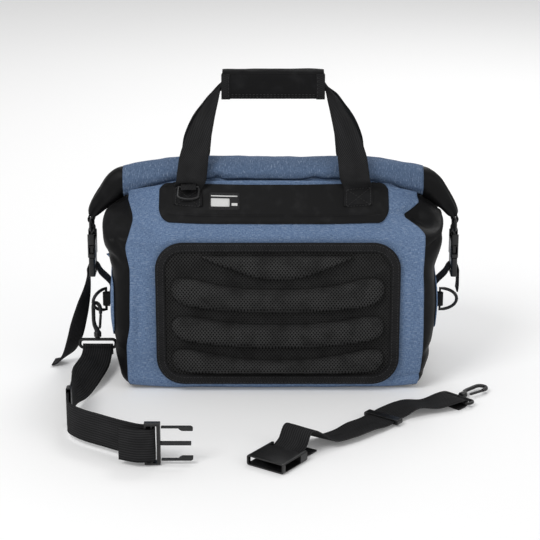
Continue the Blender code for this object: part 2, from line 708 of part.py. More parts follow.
# across, towards the face, up, then the side vector (across, up) and the width
LEG = [
    (0.1025, 0.0640, 0.2790, 1.0, -0.10, HANDLE_WIDTH), (0.0990, 0.0510, 0.3080, 0.98, -0.20, HANDLE_WIDTH),
    (0.0905, 0.0340, 0.3380, 0.93, -0.36, 0.034), (0.0800, 0.0195, 0.3625, 0.85, -0.52, 0.024),
    (0.0710, 0.0080, 0.3795, 0.75, -0.66, 0.015), (0.0590, 0.0040, 0.3850, 0.25, -0.97, 0.016),
    (0.0300, 0.0030, 0.3850, 0.0, -1.0, 0.022)]
for face, name in ((-1, "back_handle"), (1, "front_handle")):
    half = []
    for z in FOOT_Z:
        inner_edge = on_face(HANDLE_X - HANDLE_WIDTH / 2, z, face, FOOT_LIFT)
        outer_edge = on_face(HANDLE_X + HANDLE_WIDTH / 2, z, face, FOOT_LIFT)
        spot = (inner_edge + outer_edge) / 2
        half.append((*spot, *(outer_edge - inner_edge).normalized(), HANDLE_WIDTH))
    for across, out, up, side_a, side_u, width in LEG:
        half.append((across, face * out, up, side_a, 0.0, side_u, width))
    left = [(-x, y, z, a, -b, -c, w) for x, y, z, a, b, c, w in half]
    add_ribbon(name, left + half[::-1], 41, "black_webbing")

grip_low = (-GRIP_LENGTH / 2, -GRIP_HALF_DEPTH, GRIP_Z - GRIP_HALF_HEIGHT)
grip_high = (GRIP_LENGTH / 2, GRIP_HALF_DEPTH, GRIP_Z + GRIP_HALF_HEIGHT)
GRIP_WALL = 0.0022
grip_cover = add_bar("grip_cover", grip_low, grip_high, 0, 0.0085, "black_tarpaulin")
bore_low = (grip_low[0] - 0.005, grip_low[1] + GRIP_WALL, grip_low[2] + GRIP_WALL)
bore_high = (grip_high[0] + 0.005, grip_high[1] - GRIP_WALL, grip_high[2] - GRIP_WALL)
cut(grip_cover, add_bar("grip_bore", bore_low, bore_high, 0, 0.0065, "black_tarpaulin", collection=CUTTERS))
TAPE = 0.0009
FLAP = 0.0022
tape_z = (GRIP_Z - 0.0085, GRIP_Z + 0.0085)
loop_face = -GRIP_HALF_DEPTH - GAP
loop_tape = add_box("loop_tape", (-0.055, loop_face - TAPE, tape_z[0]), (0.055, loop_face, tape_z[1]),
                    "black_mesh")
hook_face = loop_face - TAPE - GAP
hook_tape = add_box("hook_tape", (-0.055, hook_face - TAPE, tape_z[0]), (0.055, hook_face, tape_z[1]),
                    "black_mesh")
flap_face = hook_face - TAPE - GAP
grip_flap = add_bar("grip_flap", (grip_low[0] - 0.001, flap_face - FLAP, grip_low[2]),
                    (grip_high[0] + 0.001, flap_face, grip_high[2] - 0.002), 1, 0.004, "black_tarpaulin", 2)

# lash ring on the left foot of the wearer's handle
lash_spot = on_face(-HANDLE_X, 0.2555, -1, FOOT_LIFT + WEBBING / 2 + GAP + WIRE + 0.0025)
face_slope = math.atan2(HALF_DEPTH - MOUTH_BACK_Y, MOUTH_HEIGHT - SHOULDER_HEIGHT)
lash_turn = Matrix.Rotation(-face_slope, 4, "X")
lash_outline = [(-0.0125, 0.0), (0.0125, 0.0)]
lash_outline += [(0.0135 * math.cos(a), -0.0115 - 0.0045 * math.sin(a)) for a in [math.pi * i / 8 for i in range(9)]]
lash_outline[2] = (0.0135, -0.0040)
lash_points = [lash_spot + (lash_turn @ Vector((x, 0.0, z))) for x, z in lash_outline]
lash_ring = rail("lash_ring", lash_points, 0.0016, "black_plastic")


def lash_place(s, t):
    wrap = [(-0.0032, -0.0050), (-0.0032, 0.0)]
    wrap += [(0.0032 * -math.cos(a), 0.0032 * math.sin(a)) for a in [math.pi * i / 6 for i in range(1, 7)]]
    wrap.append((0.0032, -0.0020))
    out, up = wrap[round(t * (len(wrap) - 1))]
    return lash_spot + (lash_turn @ Vector(((s - 0.5) * 0.019, out, up)))


lash_tab = add_sheet("lash_tab", lash_place, 1, 8, "black_webbing", 0.0014, smooth=False)


# ---------------------------------------------------------------- waist belt
BELT_BUCKLE_HALF = BELT_WIDTH / 2 + 0.006
BELT_BUCKLE_THICK = 0.0125
LOOP_HALF = BELT_WIDTH / 2 + 0.004
LOOP_LENGTH = 0.0115
COLLAR_GAP = 0.0010
HOOK_WIRE = 0.0026
HOOK_RADIUS = 0.0075


def tube(name, path, normal, finish, sides=8):
    """A round bar along a flat path of (point, radius); normal stands on the path's plane."""
    rings = []
    points = [Vector(point) for point, radius in path]
    for k, (point, radius) in enumerate(path):
        ahead = points[min(k + 1, len(points) - 1)] - points[max(k - 1, 0)]
        across = ahead.normalized().cross(normal)
        rings.append([points[k] + radius * (normal * math.cos(a) + across * math.sin(a))
                      for a in [2 * math.pi * i / sides for i in range(sides)]])
    return loft(name, rings, finish)


def swivel_hook(word, top, down, across):
    """Snap hook, gate and webbing loop hanging from top along the unit vector down."""
    normal = down.cross(across)

    def at(a, along):
        return top + across * a + down * along

    bend = [(at(HOOK_RADIUS * math.cos(a), HOOK_RADIUS - HOOK_RADIUS * math.sin(a)), HOOK_WIRE)
            for a in [math.pi * i / 8 for i in range(9)]]
    path = [(at(HOOK_RADIUS, 0.0130), 0.0022)] + bend + [
        (at(-HOOK_RADIUS, 0.0260), HOOK_WIRE), (at(-0.0060, 0.0325), 0.0029), (at(-0.0022, 0.0370), 0.0034),
        (at(0.0, 0.0400), 0.0036), (at(0.0, 0.0410), 0.0050), (at(0.0, 0.0470), 0.0050), (at(0.0, 0.0480), 0.0042)]
    hook = tube(word + "_hook", path, normal, "black_plastic")
    gate = tube(word + "_gate", [(at(0.0046, 0.0345), 0.0014), (at(0.0052, 0.0325), 0.0018),
                                 (at(HOOK_RADIUS, 0.0155), 0.0018), (at(HOOK_RADIUS, 0.0137), 0.0014)],
                normal, "black_plastic")
    first = 0.0480 + COLLAR_GAP + WIRE
    outline = round_rectangle(LOOP_HALF, first, first + LOOP_LENGTH, 0.0045)
    loop = rail(word + "_swivel_loop", [at(0.0, 0.0) + wide * y + down * z for wide, y, z in
                                        [(LOOP_WIDE[word], y, z) for y, z in outline]], WIRE, "black_plastic")
    return hook, gate, loop, at(0.0046, 0.0345), normal, first


def slider_frame(name, centre, along, across, finish="black_plastic"):
    """Web slider: a flat frame with one slot the webbing runs through."""
    half = BELT_WIDTH / 2
    up = along.cross(across)
    turn = Matrix((along, across, up)).transposed().to_4x4()
    frame = Matrix.Translation(centre) @ turn
    body = add_bar(name, (-0.0055, -half - 0.0055, -0.0032), (0.0055, half + 0.0055, 0.0032), 0, 0.0022, finish)
    tool = add_box(name + "_slot", (-0.01, -half - 0.0012, -0.0016), (0.01, half + 0.0012, 0.0016), finish,
                   collection=CUTTERS)
    tool.matrix_world = frame
    cut(body, tool)
    body.matrix_world = frame
    return body


# left half: its hook hangs on the left side ring, the webbing runs forward and stands on edge
ring_arm = 0.0165
ring_way = Vector((-math.cos(math.radians(45)), -math.sin(math.radians(45)), 0.0))
hook_drop = SIDE_RING_HALF * math.sqrt(1 - (ring_arm / SIDE_RING_REACH) ** 2)
wire_spot = Vector((-SIDE_RING_X, 0.0, RING_Z - hook_drop)) + ring_way * ring_arm
left_top = wire_spot + Vector((0.0, 0.0, 1.25 * WIRE + HOOK_WIRE + 0.0026))
LOOP_WIDE = {"left": Vector((1.0, 0.0, 0.0))}
down = Vector((0.0, 0.0, -1.0))
left_hook, left_gate, left_loop, left_gate_pin, left_gate_axis, first = swivel_hook(
    "left", left_top, down, Vector((ring_way.y, -ring_way.x, 0.0)) * -1.0)
bar_x, bar_y, bar_z = left_top + down * (first + LOOP_LENGTH)
wrap = WIRE + 0.0007 + WEBBING / 2
BELT_Z = BELT_BUCKLE_HALF + 0.0005
PLUG_X = -0.1310
PLUG_Y = -0.3330
left_stations = [
    (bar_x, bar_y + wrap, bar_z - 0.0110, 1, 0, 0), (bar_x, bar_y + wrap, bar_z - 0.0010, 1, 0, 0),
    (bar_x, bar_y + 0.8 * wrap, bar_z + 0.8 * wrap, 1, 0, 0), (bar_x, bar_y, bar_z + 1.15 * wrap, 1, 0, 0),
    (bar_x, bar_y - 0.8 * wrap, bar_z + 0.8 * wrap, 1, 0, 0),
    (bar_x, bar_y - wrap, bar_z - 0.0010, 1, 0, 0), (bar_x - 0.001, bar_y - 0.0110, 0.0205, 1, 0, -0.05),
    (-0.2360, -0.0500, 0.0200, 1, 0, -0.35), (-0.2410, -0.0900, 0.0205, 0.80, 0, -0.60),
    (-0.2465, -0.1300, 0.0208, 0.45, 0, -0.89), (-0.2495, -0.1600, BELT_Z, 0.12, 0, -1),
    (-0.2500, -0.1850, BELT_Z, 0, 0, -1), (-0.2500, -0.2100, BELT_Z, 0, 0, -1),
    (-0.2500, -0.2350, BELT_Z, 0, 0, -1), (-0.2460, -0.2560, BELT_Z, 0, 0, -1),
    (-0.2290, -0.2760, BELT_Z, 0, 0, -1), (-0.2010, -0.2960, BELT_Z, 0, 0, -1),
    (-0.1730, -0.3150, BELT_Z, 0, 0, -1), (-0.1560, -0.3235, BELT_Z, 0, 0, -1),
    (-0.1450, -0.3240, BELT_Z, 0, 0, -1), (-0.1395, -0.3258, BELT_Z, 0, 0, -1),
    (-0.1380, -0.3295, BELT_Z, 0, 0, -1), (-0.1380, -0.3365, BELT_Z, 0, 0, -1),
    (-0.1395, -0.3402, BELT_Z, 0, 0, -1), (-0.1450, -0.3420, BELT_Z, 0, 0, -1),
    (-0.1600, -0.3420, BELT_Z, 0, 0, -1), (-0.1800, -0.3330, BELT_Z, 0, 0, -1)]
add_ribbon("left_belt_webbing", [(*p, BELT_WIDTH) for p in left_stations], 80, "black_webbing")
LEFT_SLIDER_Y = -0.2180
left_slider = slider_frame("left_slider", Vector((-0.2500, LEFT_SLIDER_Y, BELT_Z)), Vector((0.0, 1.0, 0.0)),
                           Vector((0.0, 0.0, 1.0)))
to_x = Matrix(((0, 0, 1), (1, 0, 0), (0, 1, 0)))
PLUG_FRAME = 0.0190
PLUG_REACH = 0.0370
belt_plug, belt_prongs = buckle_plug(
    "belt_plug", ("lower_belt_prong", "upper_belt_prong"), (PLUG_X, PLUG_Y, BELT_BUCKLE_HALF + 0.0005), to_x,
    BELT_BUCKLE_HALF, BELT_BUCKLE_THICK - 0.0020, PLUG_FRAME, PLUG_REACH, BELT_BUCKLE_HALF - 0.0045)

# right half: unclipped, lying in front of the bag
SOCKET_PLACE = Vector((-0.0100, -0.3500, BELT_BUCKLE_THICK / 2 + 0.0005))
socket_way = Vector((math.cos(math.radians(55)), math.sin(math.radians(55)), 0.0))
socket_across = Vector((socket_way.y, -socket_way.x, 0.0))
SOCKET_LENGTH = 0.0500
lying = Matrix((Vector((0.0, 0.0, 1.0)), socket_across, socket_way)).transposed()
belt_socket = buckle_socket("belt_socket", SOCKET_PLACE, lying, BELT_BUCKLE_HALF, BELT_BUCKLE_THICK,
                            SOCKET_LENGTH, BELT_WIDTH / 2 + 0.0015)
bar = SOCKET_PLACE + socket_way * (SOCKET_LENGTH - 0.0015)
low = Vector((0.0, 0.0, -0.0040))
loop_way = Vector((0.70, 0.714, 0.0)).normalized()
loop_across = Vector((loop_way.y, -loop_way.x, 0.0))
LOOP_Z = 0.0060
loop_bar = Vector((0.2290, -0.1440, LOOP_Z))
slide_way = Vector((0.62, 0.785, 0.0)).normalized()
slide_across = Vector((slide_way.y, -slide_way.x, 0.0))
slide_spot = Vector((0.1360, -0.2040, 0.0060))


def station(point, side, height=None):
    z = point.z if height is None else height
    return (point.x, point.y, z, side.x, side.y, side.z, BELT_WIDTH)


right_stations = [
    station(bar + socket_way * 0.030 + low, socket_across, 0.0014),
    station(bar + socket_way * 0.012 + low, socket_across, 0.0018), station(bar + low, socket_across),
    station(bar - socket_way * 0.0038 + low * 0.3, socket_across),
    station(bar - socket_way * 0.0038 - low * 0.3, socket_across),
    station(bar - low, socket_across), station(bar + socket_way * 0.009, socket_across, 0.0155),
    station(bar + socket_way * 0.022, socket_across, 0.0290),
    (0.0450, -0.2820, 0.0200, 0.80, -0.60, 0.0, BELT_WIDTH), (0.0620, -0.2730, 0.0072, 0.72, -0.69, 0.10, BELT_WIDTH),
    (0.0860, -0.2560, 0.0060, 0.72, -0.69, 0.12, BELT_WIDTH), (0.1060, -0.2370, 0.0075, 0.76, -0.65, 0.05, BELT_WIDTH),
    station(slide_spot - slide_way * 0.022, slide_across), station(slide_spot, slide_across),
    station(slide_spot + slide_way * 0.022, slide_across),
    (0.1720, -0.1740, 0.0110, 0.50, -0.86, 0.08, BELT_WIDTH), (0.1980, -0.1620, 0.0070, 0.55, -0.83, 0.05, BELT_WIDTH),
    station(loop_bar - loop_way * 0.012, loop_across, LOOP_Z + 0.0050),
    station(loop_bar, loop_across, LOOP_Z + wrap),
    station(loop_bar + loop_way * wrap, loop_across),
    station(loop_bar, loop_across, LOOP_Z - wrap), station(loop_bar - loop_way * 0.014, loop_across, 0.0014)]
add_ribbon("right_belt_webbing", right_stations, 64, "black_webbing")
right_slider = slider_frame("right_slider", slide_spot, slide_way, slide_across)
LOOP_WIDE["right"] = loop_across
back_up = -loop_way
right_top = loop_bar - back_up * (0.0480 + COLLAR_GAP + WIRE + LOOP_LENGTH)
right_hook, right_gate, right_loop, right_gate_pin, right_gate_axis, first = swivel_hook(
    "right", right_top, back_up, loop_across)

# ---------------------------------------------------------------- joints
# Each group hangs on an empty that stands on its joint.
HANDLE_PIVOT_Z = 0.262
flap_pivot = (0.0, flap_face, grip_high[2] - 0.002)
prong_z = BUCKLE_SPLIT - GAP + PRONG_ROOT
hang(empty_at("handle_swing", (0.0, 0.0, HANDLE_PIVOT_Z)), grip_cover, loop_tape)
hang(empty_at("flap_open", flap_pivot), grip_flap, hook_tape)
for side, word in ((-1, "left"), (1, "right")):
    plug, prongs = plugs[side]
    hang(empty_at(word + "_buckle_release", (side * BUCKLE_X, 0.0, BUCKLE_SPLIT)), plug, *prongs)
    hang(empty_at(word + "_ring_swing", (side * SIDE_RING_X, 0.0, RING_Z)), side_rings[side])
hang(empty_at("roll_lift", (0.0, 0.0, MOUTH_HEIGHT)), roll_sleeve, mouth_stiffener, *roll_ends.values(),
     *sockets.values())
hang(empty_at("left_hook_tilt", wire_spot), left_hook)
hang(empty_at("left_gate_open", left_gate_pin), left_gate)
hang(empty_at("left_swivel", (left_top.x, left_top.y, SWIVEL_Z)), left_loop, belt_plug, *belt_prongs,
     left_slider, bpy.data.objects["left_belt_webbing"])
hang(empty_at("lash_ring_swing", lash_spot), lash_ring)
hang(empty_at("right_swivel", right_top), right_hook)
hang(empty_at("right_gate_open", right_gate_pin), right_gate)
hang(empty_at("right_belt_lift", loop_bar), right_loop, belt_socket, right_slider,
     bpy.data.objects["right_belt_webbing"])
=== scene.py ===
# %% [markdown]
# # A roll-top dry bag
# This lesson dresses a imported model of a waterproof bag: a blue body with black
# gussets, a foam back pad, two carry handles under a wrapped grip, side buckles
# that pull the roll down, and a waist belt in two halves.  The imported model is
# the skeleton.  Hard pieces keep its shapes, soft pieces are made again in cloth.

import json
import math

import bmesh
import bpy
from mathutils import Matrix, Vector, noise


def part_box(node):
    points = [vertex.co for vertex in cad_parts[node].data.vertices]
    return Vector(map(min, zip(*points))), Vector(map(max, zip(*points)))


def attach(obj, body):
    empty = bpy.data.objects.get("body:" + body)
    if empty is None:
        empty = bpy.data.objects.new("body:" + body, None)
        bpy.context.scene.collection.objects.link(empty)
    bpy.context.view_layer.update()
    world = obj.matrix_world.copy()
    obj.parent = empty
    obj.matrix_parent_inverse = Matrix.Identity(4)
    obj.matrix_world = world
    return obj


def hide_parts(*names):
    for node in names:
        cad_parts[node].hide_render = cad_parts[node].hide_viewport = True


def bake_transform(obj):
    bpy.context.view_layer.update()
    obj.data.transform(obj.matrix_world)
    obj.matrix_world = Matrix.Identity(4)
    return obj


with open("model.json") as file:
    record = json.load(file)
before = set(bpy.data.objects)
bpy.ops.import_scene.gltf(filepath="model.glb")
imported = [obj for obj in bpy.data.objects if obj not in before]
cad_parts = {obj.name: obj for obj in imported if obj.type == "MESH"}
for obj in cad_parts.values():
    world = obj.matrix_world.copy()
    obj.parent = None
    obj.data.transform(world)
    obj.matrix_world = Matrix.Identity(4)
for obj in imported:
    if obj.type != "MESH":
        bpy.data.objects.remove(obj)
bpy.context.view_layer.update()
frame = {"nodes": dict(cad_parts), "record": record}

# %% [markdown]
# ## Camera, floor and light
# The bag is seen from the wearer's side, a little from above, through a long
# lens, so its upright edges stay nearly parallel.  A pale floor and three large
# soft lamps stand for a studio: one key from the upper left, a weaker fill, and
# one behind that draws a thin bright line along black plastic.

# %% Camera
CAMERA_SPOT = (-0.004, -2.193, 0.824)
CAMERA_DIP = 17.5              # degrees below the horizon
LENS = 115.5                   # mm, on a 36 mm sensor

lens_data = bpy.data.cameras.new("studio_camera")
lens_data.lens = LENS
lens_data.sensor_width = 36.0
camera = bpy.data.objects.new("studio_camera", lens_data)
camera.location = CAMERA_SPOT
camera.rotation_euler = (math.radians(90.0 - CAMERA_DIP), 0.0, 0.0)
bpy.context.scene.collection.objects.link(camera)
bpy.context.scene.camera = camera
print("lens", LENS, "mm")

# %% Floor and lamps
bpy.context.scene.view_settings.view_transform = "Standard"
FLOOR_SIZE = 24.0
floor_shape = bmesh.new()
bmesh.ops.create_grid(floor_shape, x_segments=1, y_segments=1, size=FLOOR_SIZE / 2)
floor_mesh = bpy.data.meshes.new("studio_floor")
floor_shape.to_mesh(floor_mesh)
floor_shape.free()
floor = bpy.data.objects.new("studio_floor", floor_mesh)
bpy.context.scene.collection.objects.link(floor)

LAMPS = [                      # name, place, size, watts
    ("key_lamp", (-1.5, -2.0, 2.6), 1.5, 46.0),
    ("fill_lamp", (2.1, -1.7, 1.5), 1.6, 8.0),
    ("rim_lamp", (0.6, 1.9, 2.2), 1.6, 26.0)]
AIM = Vector((0.0, -0.05, 0.15))
for lamp_name, spot, size, watts in LAMPS:
    lamp_data = bpy.data.lights.new(lamp_name, "AREA")
    lamp_data.shape = "DISK"
    lamp_data.size = size
    lamp_data.energy = watts
    lamp = bpy.data.objects.new(lamp_name, lamp_data)
    lamp.location = spot
    lamp.rotation_mode = "QUATERNION"
    lamp.rotation_quaternion = (AIM - Vector(spot)).to_track_quat("-Z", "Y")
    bpy.context.scene.collection.objects.link(lamp)

world = bpy.data.worlds.new("studio_air")
world.use_nodes = True
world.node_tree.nodes["Background"].inputs["Color"].default_value = (1.0, 1.0, 1.0, 1.0)
world.node_tree.nodes["Background"].inputs["Strength"].default_value = 0.50
bpy.context.scene.world = world
print("lamps:", len(LAMPS))

# %% [markdown]
# ## Writing a finish as sums
# A woven or moulded finish is a picture made of numbers: waves for yarns, noise
# for wear.  Wiring those nodes by hand is slow to read.  Here one small class
# wraps a socket, so `1 - ribs * 0.4` adds the Math nodes itself, and one method
# adds every other node.

# %% A socket that can be used in sums
class Signal:
    """One output of a finish's nodes."""

    def __init__(self, finish, socket):
        self.finish = finish
        self.socket = socket

    def __add__(self, other):
        return self.finish.maths("ADD", self, other)

    def __radd__(self, other):
        return self.finish.maths("ADD", other, self)

    def __sub__(self, other):
        return self.finish.maths("SUBTRACT", self, other)

    def __rsub__(self, other):
        return self.finish.maths("SUBTRACT", other, self)

    def __mul__(self, other):
        return self.finish.maths("MULTIPLY", self, other)

    def __rmul__(self, other):
        return self.finish.maths("MULTIPLY", other, self)


print("a Signal knows +, - and *")


# %% A finish and its nodes
class Finish:
    """A material whose look is written as sums of signals."""

    def __init__(self, name, colour, roughness, **sockets):
        self.material = bpy.data.materials.new(name)
        self.material.use_nodes = True
        self.tree = self.material.node_tree
        self.shader = self.tree.nodes["Principled BSDF"]
        self.shader.inputs["Base Color"].default_value = (*colour, 1.0)
        self.shader.inputs["Roughness"].default_value = roughness
        for socket, value in sockets.items():
            self.shader.inputs[socket.replace("_", " ")].default_value = value

    def node(self, kind, settings=None, inputs=None, out=0):
        """Add a node, set it up, feed its sockets, and give one output back."""
        made = self.tree.nodes.new("ShaderNode" + kind)
        for key, value in (settings or {}).items():
            if key == "stops":
                ramp = made.color_ramp
                while len(ramp.elements) < len(value):
                    ramp.elements.new(1.0)
                for element, (place, colour) in zip(ramp.elements, value):
                    element.position = place
                    element.color = (*colour, 1.0)
            else:
                setattr(made, key, value)
        for key, value in (inputs or {}).items():
            if isinstance(value, Signal):
                self.tree.links.new(value.socket, made.inputs[key])
            else:
                made.inputs[key].default_value = value
        return Signal(self, made.outputs[out])

    def maths(self, operation, first, second=0.0):
        return self.node("Math", {"operation": operation}, {0: first, 1: second})

    def wave(self, signal, per_metre):
        """0..1 waves along a signal in metres."""
        return self.maths("SINE", signal * (2 * math.pi * per_metre)) * 0.5 + 0.5

    def grain(self, place, stretch, detail=2.0):
        """Noise with its own scale along each axis, per metre."""
        scaled = self.node("VectorMath", {"operation": "MULTIPLY"}, {0: place, 1: stretch})
        return self.node("TexNoise", None, {"Vector": scaled, "Scale": 1.0, "Detail": detail}, "Fac")

    def parts(self, place, *axes):
        """Single coordinates of a place, such as its X and Z."""
        return [self.node("SeparateXYZ", None, {0: place}, axis) for axis in axes]

    def step(self, signal, low, high):
        """0 below low, 1 above high, smooth between."""
        return self.node("MapRange", {"interpolation_type": "SMOOTHSTEP"},
                         {"Value": signal, "From Min": low, "From Max": high})

    def mix(self, share, first, second):
        """From one colour to another."""
        pair = [value if isinstance(value, Signal) else (*value, 1.0) for value in (first, second)]
        return self.node("Mix", {"data_type": "RGBA"}, {0: share, 6: pair[0], 7: pair[1]}, 2)

    def feed(self, socket, signal):
        self.tree.links.new(signal.socket, self.shader.inputs[socket])

    def bump(self, height, depth, strength=1.0):
        """Raise the surface by height (0..1) times depth in metres."""
        sockets = {"Height": height, "Distance": depth, "Strength": strength}
        self.feed("Normal", self.node("Bump", None, sockets, "Normal"))


print("a Finish wraps one material")

# %% [markdown]
# ## Cloth finishes
# The blue cloth is woven from yarns of two blues, so it looks heathered, with a
# few thick pale slubs.  The pattern follows each piece's own UV map, which is in
# metres, so the weave has one scale on the flat faces and on the roll.  The
# cloth of the roll is a third darker: painted shade on the rolled cloth.

# %% Blue heathered cloth
YARN_BLUES = [(0.30, (0.050, 0.086, 0.165)), (0.50, (0.130, 0.204, 0.345)), (0.70, (0.290, 0.390, 0.560))]
SLUB_BLUE = (0.42, 0.51, 0.65)
CLOUD_BLUE = (0.078, 0.125, 0.215)
YARNS_PER_METRE = 850.0


def heather(name, shade=1.0):
    """Woven cloth of mixed blue yarns, drawn on the piece's own UV map."""
    cloth = Finish(name, (0.10, 0.17, 0.29), 0.82, Specular_IOR_Level=0.2)
    place = cloth.node("TexCoord", out="UV")
    across = cloth.grain(place, (240.0, 1500.0, 1.0))
    along = cloth.grain(place, (1500.0, 240.0, 1.0))
    cloud = cloth.grain(place, (30.0, 30.0, 1.0))
    slub = cloth.step(cloth.grain(place, (110.0, 900.0, 1.0), 1.0), 0.60, 0.72)
    yarn = across * 0.55 + along * 0.45
    stops = [(at, tuple(shade * level for level in colour)) for at, colour in YARN_BLUES]
    blue = cloth.node("ValToRGB", {"stops": stops}, {"Fac": yarn}, "Color")
    blue = cloth.mix(slub * 0.45, blue, SLUB_BLUE)
    blue = cloth.mix(cloud * 0.22, blue, CLOUD_BLUE)
    cloth.feed("Base Color", blue)
    flat, upright = cloth.parts(place, "X", "Y")
    weave = cloth.wave(flat, YARNS_PER_METRE) * 0.5 + cloth.wave(upright, YARNS_PER_METRE) * 0.5 + yarn * 0.7
    cloth.bump(weave, 0.00035, 0.7)
    return cloth.material


blue_cloth = heather("blue_heather_cloth")
# The roll's copy of the blue cloth is darkened to 0.66: painted shade on the roll.
shaded_roll_cloth = heather("blue_roll_cloth_painted_shade", 0.66)
print("made", blue_cloth.name, shaded_roll_cloth.name)

# %% [markdown]
# ## Coated cloth
# The gussets and the ends of the roll are coated with black plastic film: smooth,
# satin, with a very fine leather grain and soft long creases where it was folded.

# %% Black coated cloth and the patch
def coated(name, colour, roughness, grain_depth, crease_depth, grain_scale=1300.0, shine=0.12):
    """Black film-coated cloth on Object coordinates."""
    film = Finish(name, colour, roughness, Specular_IOR_Level=shine)
    place = film.node("TexCoord", out="Object")
    grain = film.grain(place, (grain_scale,) * 3, 3.0)
    crease = film.grain(place, (28.0, 28.0, 19.0), 2.0)
    wear = film.grain(place, (60.0, 60.0, 60.0), 4.0)
    film.feed("Base Color", film.mix(film.step(wear, 0.45, 0.85), colour, tuple(2.1 * c for c in colour)))
    film.feed("Roughness", wear * 0.22 + (roughness - 0.11))
    film.bump(grain * grain_depth + crease * crease_depth, 0.001)
    return film.material


black_film = coated("black_coated_cloth", (0.0050, 0.0050, 0.0054), 0.48, 0.16, 2.6)
patch_film = coated("black_patch_film", (0.0090, 0.0090, 0.0094), 0.58, 0.34, 0.9, 900.0, 0.10)
grip_cloth = coated("black_grip_cloth", (0.0075, 0.0075, 0.0079), 0.74, 0.40, 0.5, 1500.0, 0.10)
print("made", black_film.name, patch_film.name, grip_cloth.name)

# %% [markdown]
# ## Spacer mesh
# The back pad is covered with a thick knitted mesh.  Its face yarns leave small
# holes in a diamond order: two slanting waves multiplied give exactly that.

# %% Black spacer mesh
def spacer_mesh(name, holes_per_metre, light):
    """Open knitted mesh, its holes in diamond order on the X and Z of the piece; light 1 is the palest."""
    knit = Finish(name, (0.010, 0.010, 0.010), 0.88, Specular_IOR_Level=0.12)
    place = knit.node("TexCoord", out="Object")
    wide, high, deep = knit.parts(place, "X", "Z", "Y")
    high = high + deep * 0.6
    first = knit.wave(wide + high * 0.8, holes_per_metre)
    second = knit.wave(wide - high * 0.8, holes_per_metre)
    hole = knit.step(first * second, 0.16, 0.52)
    fleck = knit.grain(place, (700.0, 700.0, 700.0), 2.0)
    shade = knit.grain(place, (45.0, 45.0, 45.0), 2.0)
    yarn = knit.mix(fleck, (0.014 * light,) * 3, (0.088 * light,) * 3)
    yarn = knit.mix(knit.step(shade, 0.35, 0.75) * 0.5, yarn, (0.010, 0.010, 0.010))
    knit.feed("Base Color", knit.mix(hole, yarn, (0.0010, 0.0010, 0.0011)))
    knit.bump(1 - hole + fleck * 0.25, 0.0009)
    return knit.material


HOLES_PER_METRE = 240.0
pad_mesh = spacer_mesh("black_spacer_mesh", HOLES_PER_METRE, 0.84)
# The board between the ribs gets dimmer yarn (0.55 against 0.84): painted shade in the channels between the
# ribs.
channel_shade_mesh = spacer_mesh("channel_shade_spacer_mesh", HOLES_PER_METRE, 0.55)
print("made", pad_mesh.name, channel_shade_mesh.name)

# %% [markdown]
# ## Webbing, plastic and small finishes
# Webbing shows its weave: ribs that run along belt webbing, and a slanted twill
# on the handles.  Both read the ribbon's own UV map, with X across and Y along.
# Moulded plastic is plainer: a satin black with a faint orange-peel skin.

# %% Webbing
PICKS_PER_METRE = 700.0


def webbing(name, ribs_per_metre, slant, colour=(0.0105, 0.0105, 0.0110), coordinates="UV"):
    """Black webbing; slant 0 gives ribs along it, 1 gives a twill."""
    band = Finish(name, colour, 0.84, Specular_IOR_Level=0.12)
    place = band.node("TexCoord", out=coordinates)
    across, along = band.parts(place, "X", "Y" if coordinates == "UV" else "Z")
    ribs = band.wave(across + along * slant, ribs_per_metre)
    picks = band.wave(along, PICKS_PER_METRE)
    fuzz = band.grain(place, (900.0, 900.0, 900.0), 3.0)
    wear = band.grain(place, (70.0, 40.0, 70.0), 3.0)
    # Base colour runs from 0.45 of the colour in the weave's valleys to 3.4 times it on the raised yarns,
    # scaled by the wear noise: painted shade and painted highlight on the weave relief, partly real wear.
    light = tuple(3.4 * c for c in colour)
    height = ribs * 0.7 + picks * 0.18 + fuzz * 0.35
    band.feed("Base Color", band.mix(height * (wear * 0.9 + 0.25), tuple(0.45 * c for c in colour), light))
    band.bump(height, 0.0006)
    return band.material


belt_band = webbing("black_belt_webbing", 330.0, 0.0)
handle_band = webbing("black_handle_webbing", 420.0, 0.9)
strap_band = webbing("black_strap_webbing", 420.0, 0.0)
tab_band = webbing("black_tab_webbing", 520.0, 0.4, coordinates="Object")
binding_band = webbing("black_binding_tape", 380.0, 1.0, (0.0095, 0.0095, 0.0100))
print("webbings made")


# %% Plastic, label, thread and tapes
def moulded_plastic(name, colour, roughness):
    shell = Finish(name, colour, roughness, Specular_IOR_Level=0.42)
    place = shell.node("TexCoord", out="Object")
    peel = shell.grain(place, (1700.0, 1700.0, 1700.0), 2.0)
    scuff = shell.grain(place, (140.0, 140.0, 140.0), 5.0)
    shell.feed("Base Color", shell.mix(shell.step(scuff, 0.50, 0.80), colour, tuple(2.2 * c for c in colour)))
    shell.feed("Roughness", scuff * 0.24 + (roughness - 0.12))
    shell.bump(peel, 0.00012)
    return shell.material


def plain_weave(name, colour, depth, threads=1100.0, roughness=0.8):
    """A fine woven cloth of one colour on Object coordinates."""
    cloth = Finish(name, colour, roughness)
    place = cloth.node("TexCoord", out="Object")
    wide, high = cloth.parts(place, "X", "Z")
    weave = cloth.wave(wide, threads) * cloth.wave(high, threads)
    fuzz = cloth.grain(place, (600.0, 600.0, 600.0), 3.0)
    cloth.feed("Base Color", cloth.mix(weave * 0.25 + fuzz * 0.30, colour, tuple(0.62 * c for c in colour)))
    cloth.bump(weave + fuzz, depth)
    return cloth.material


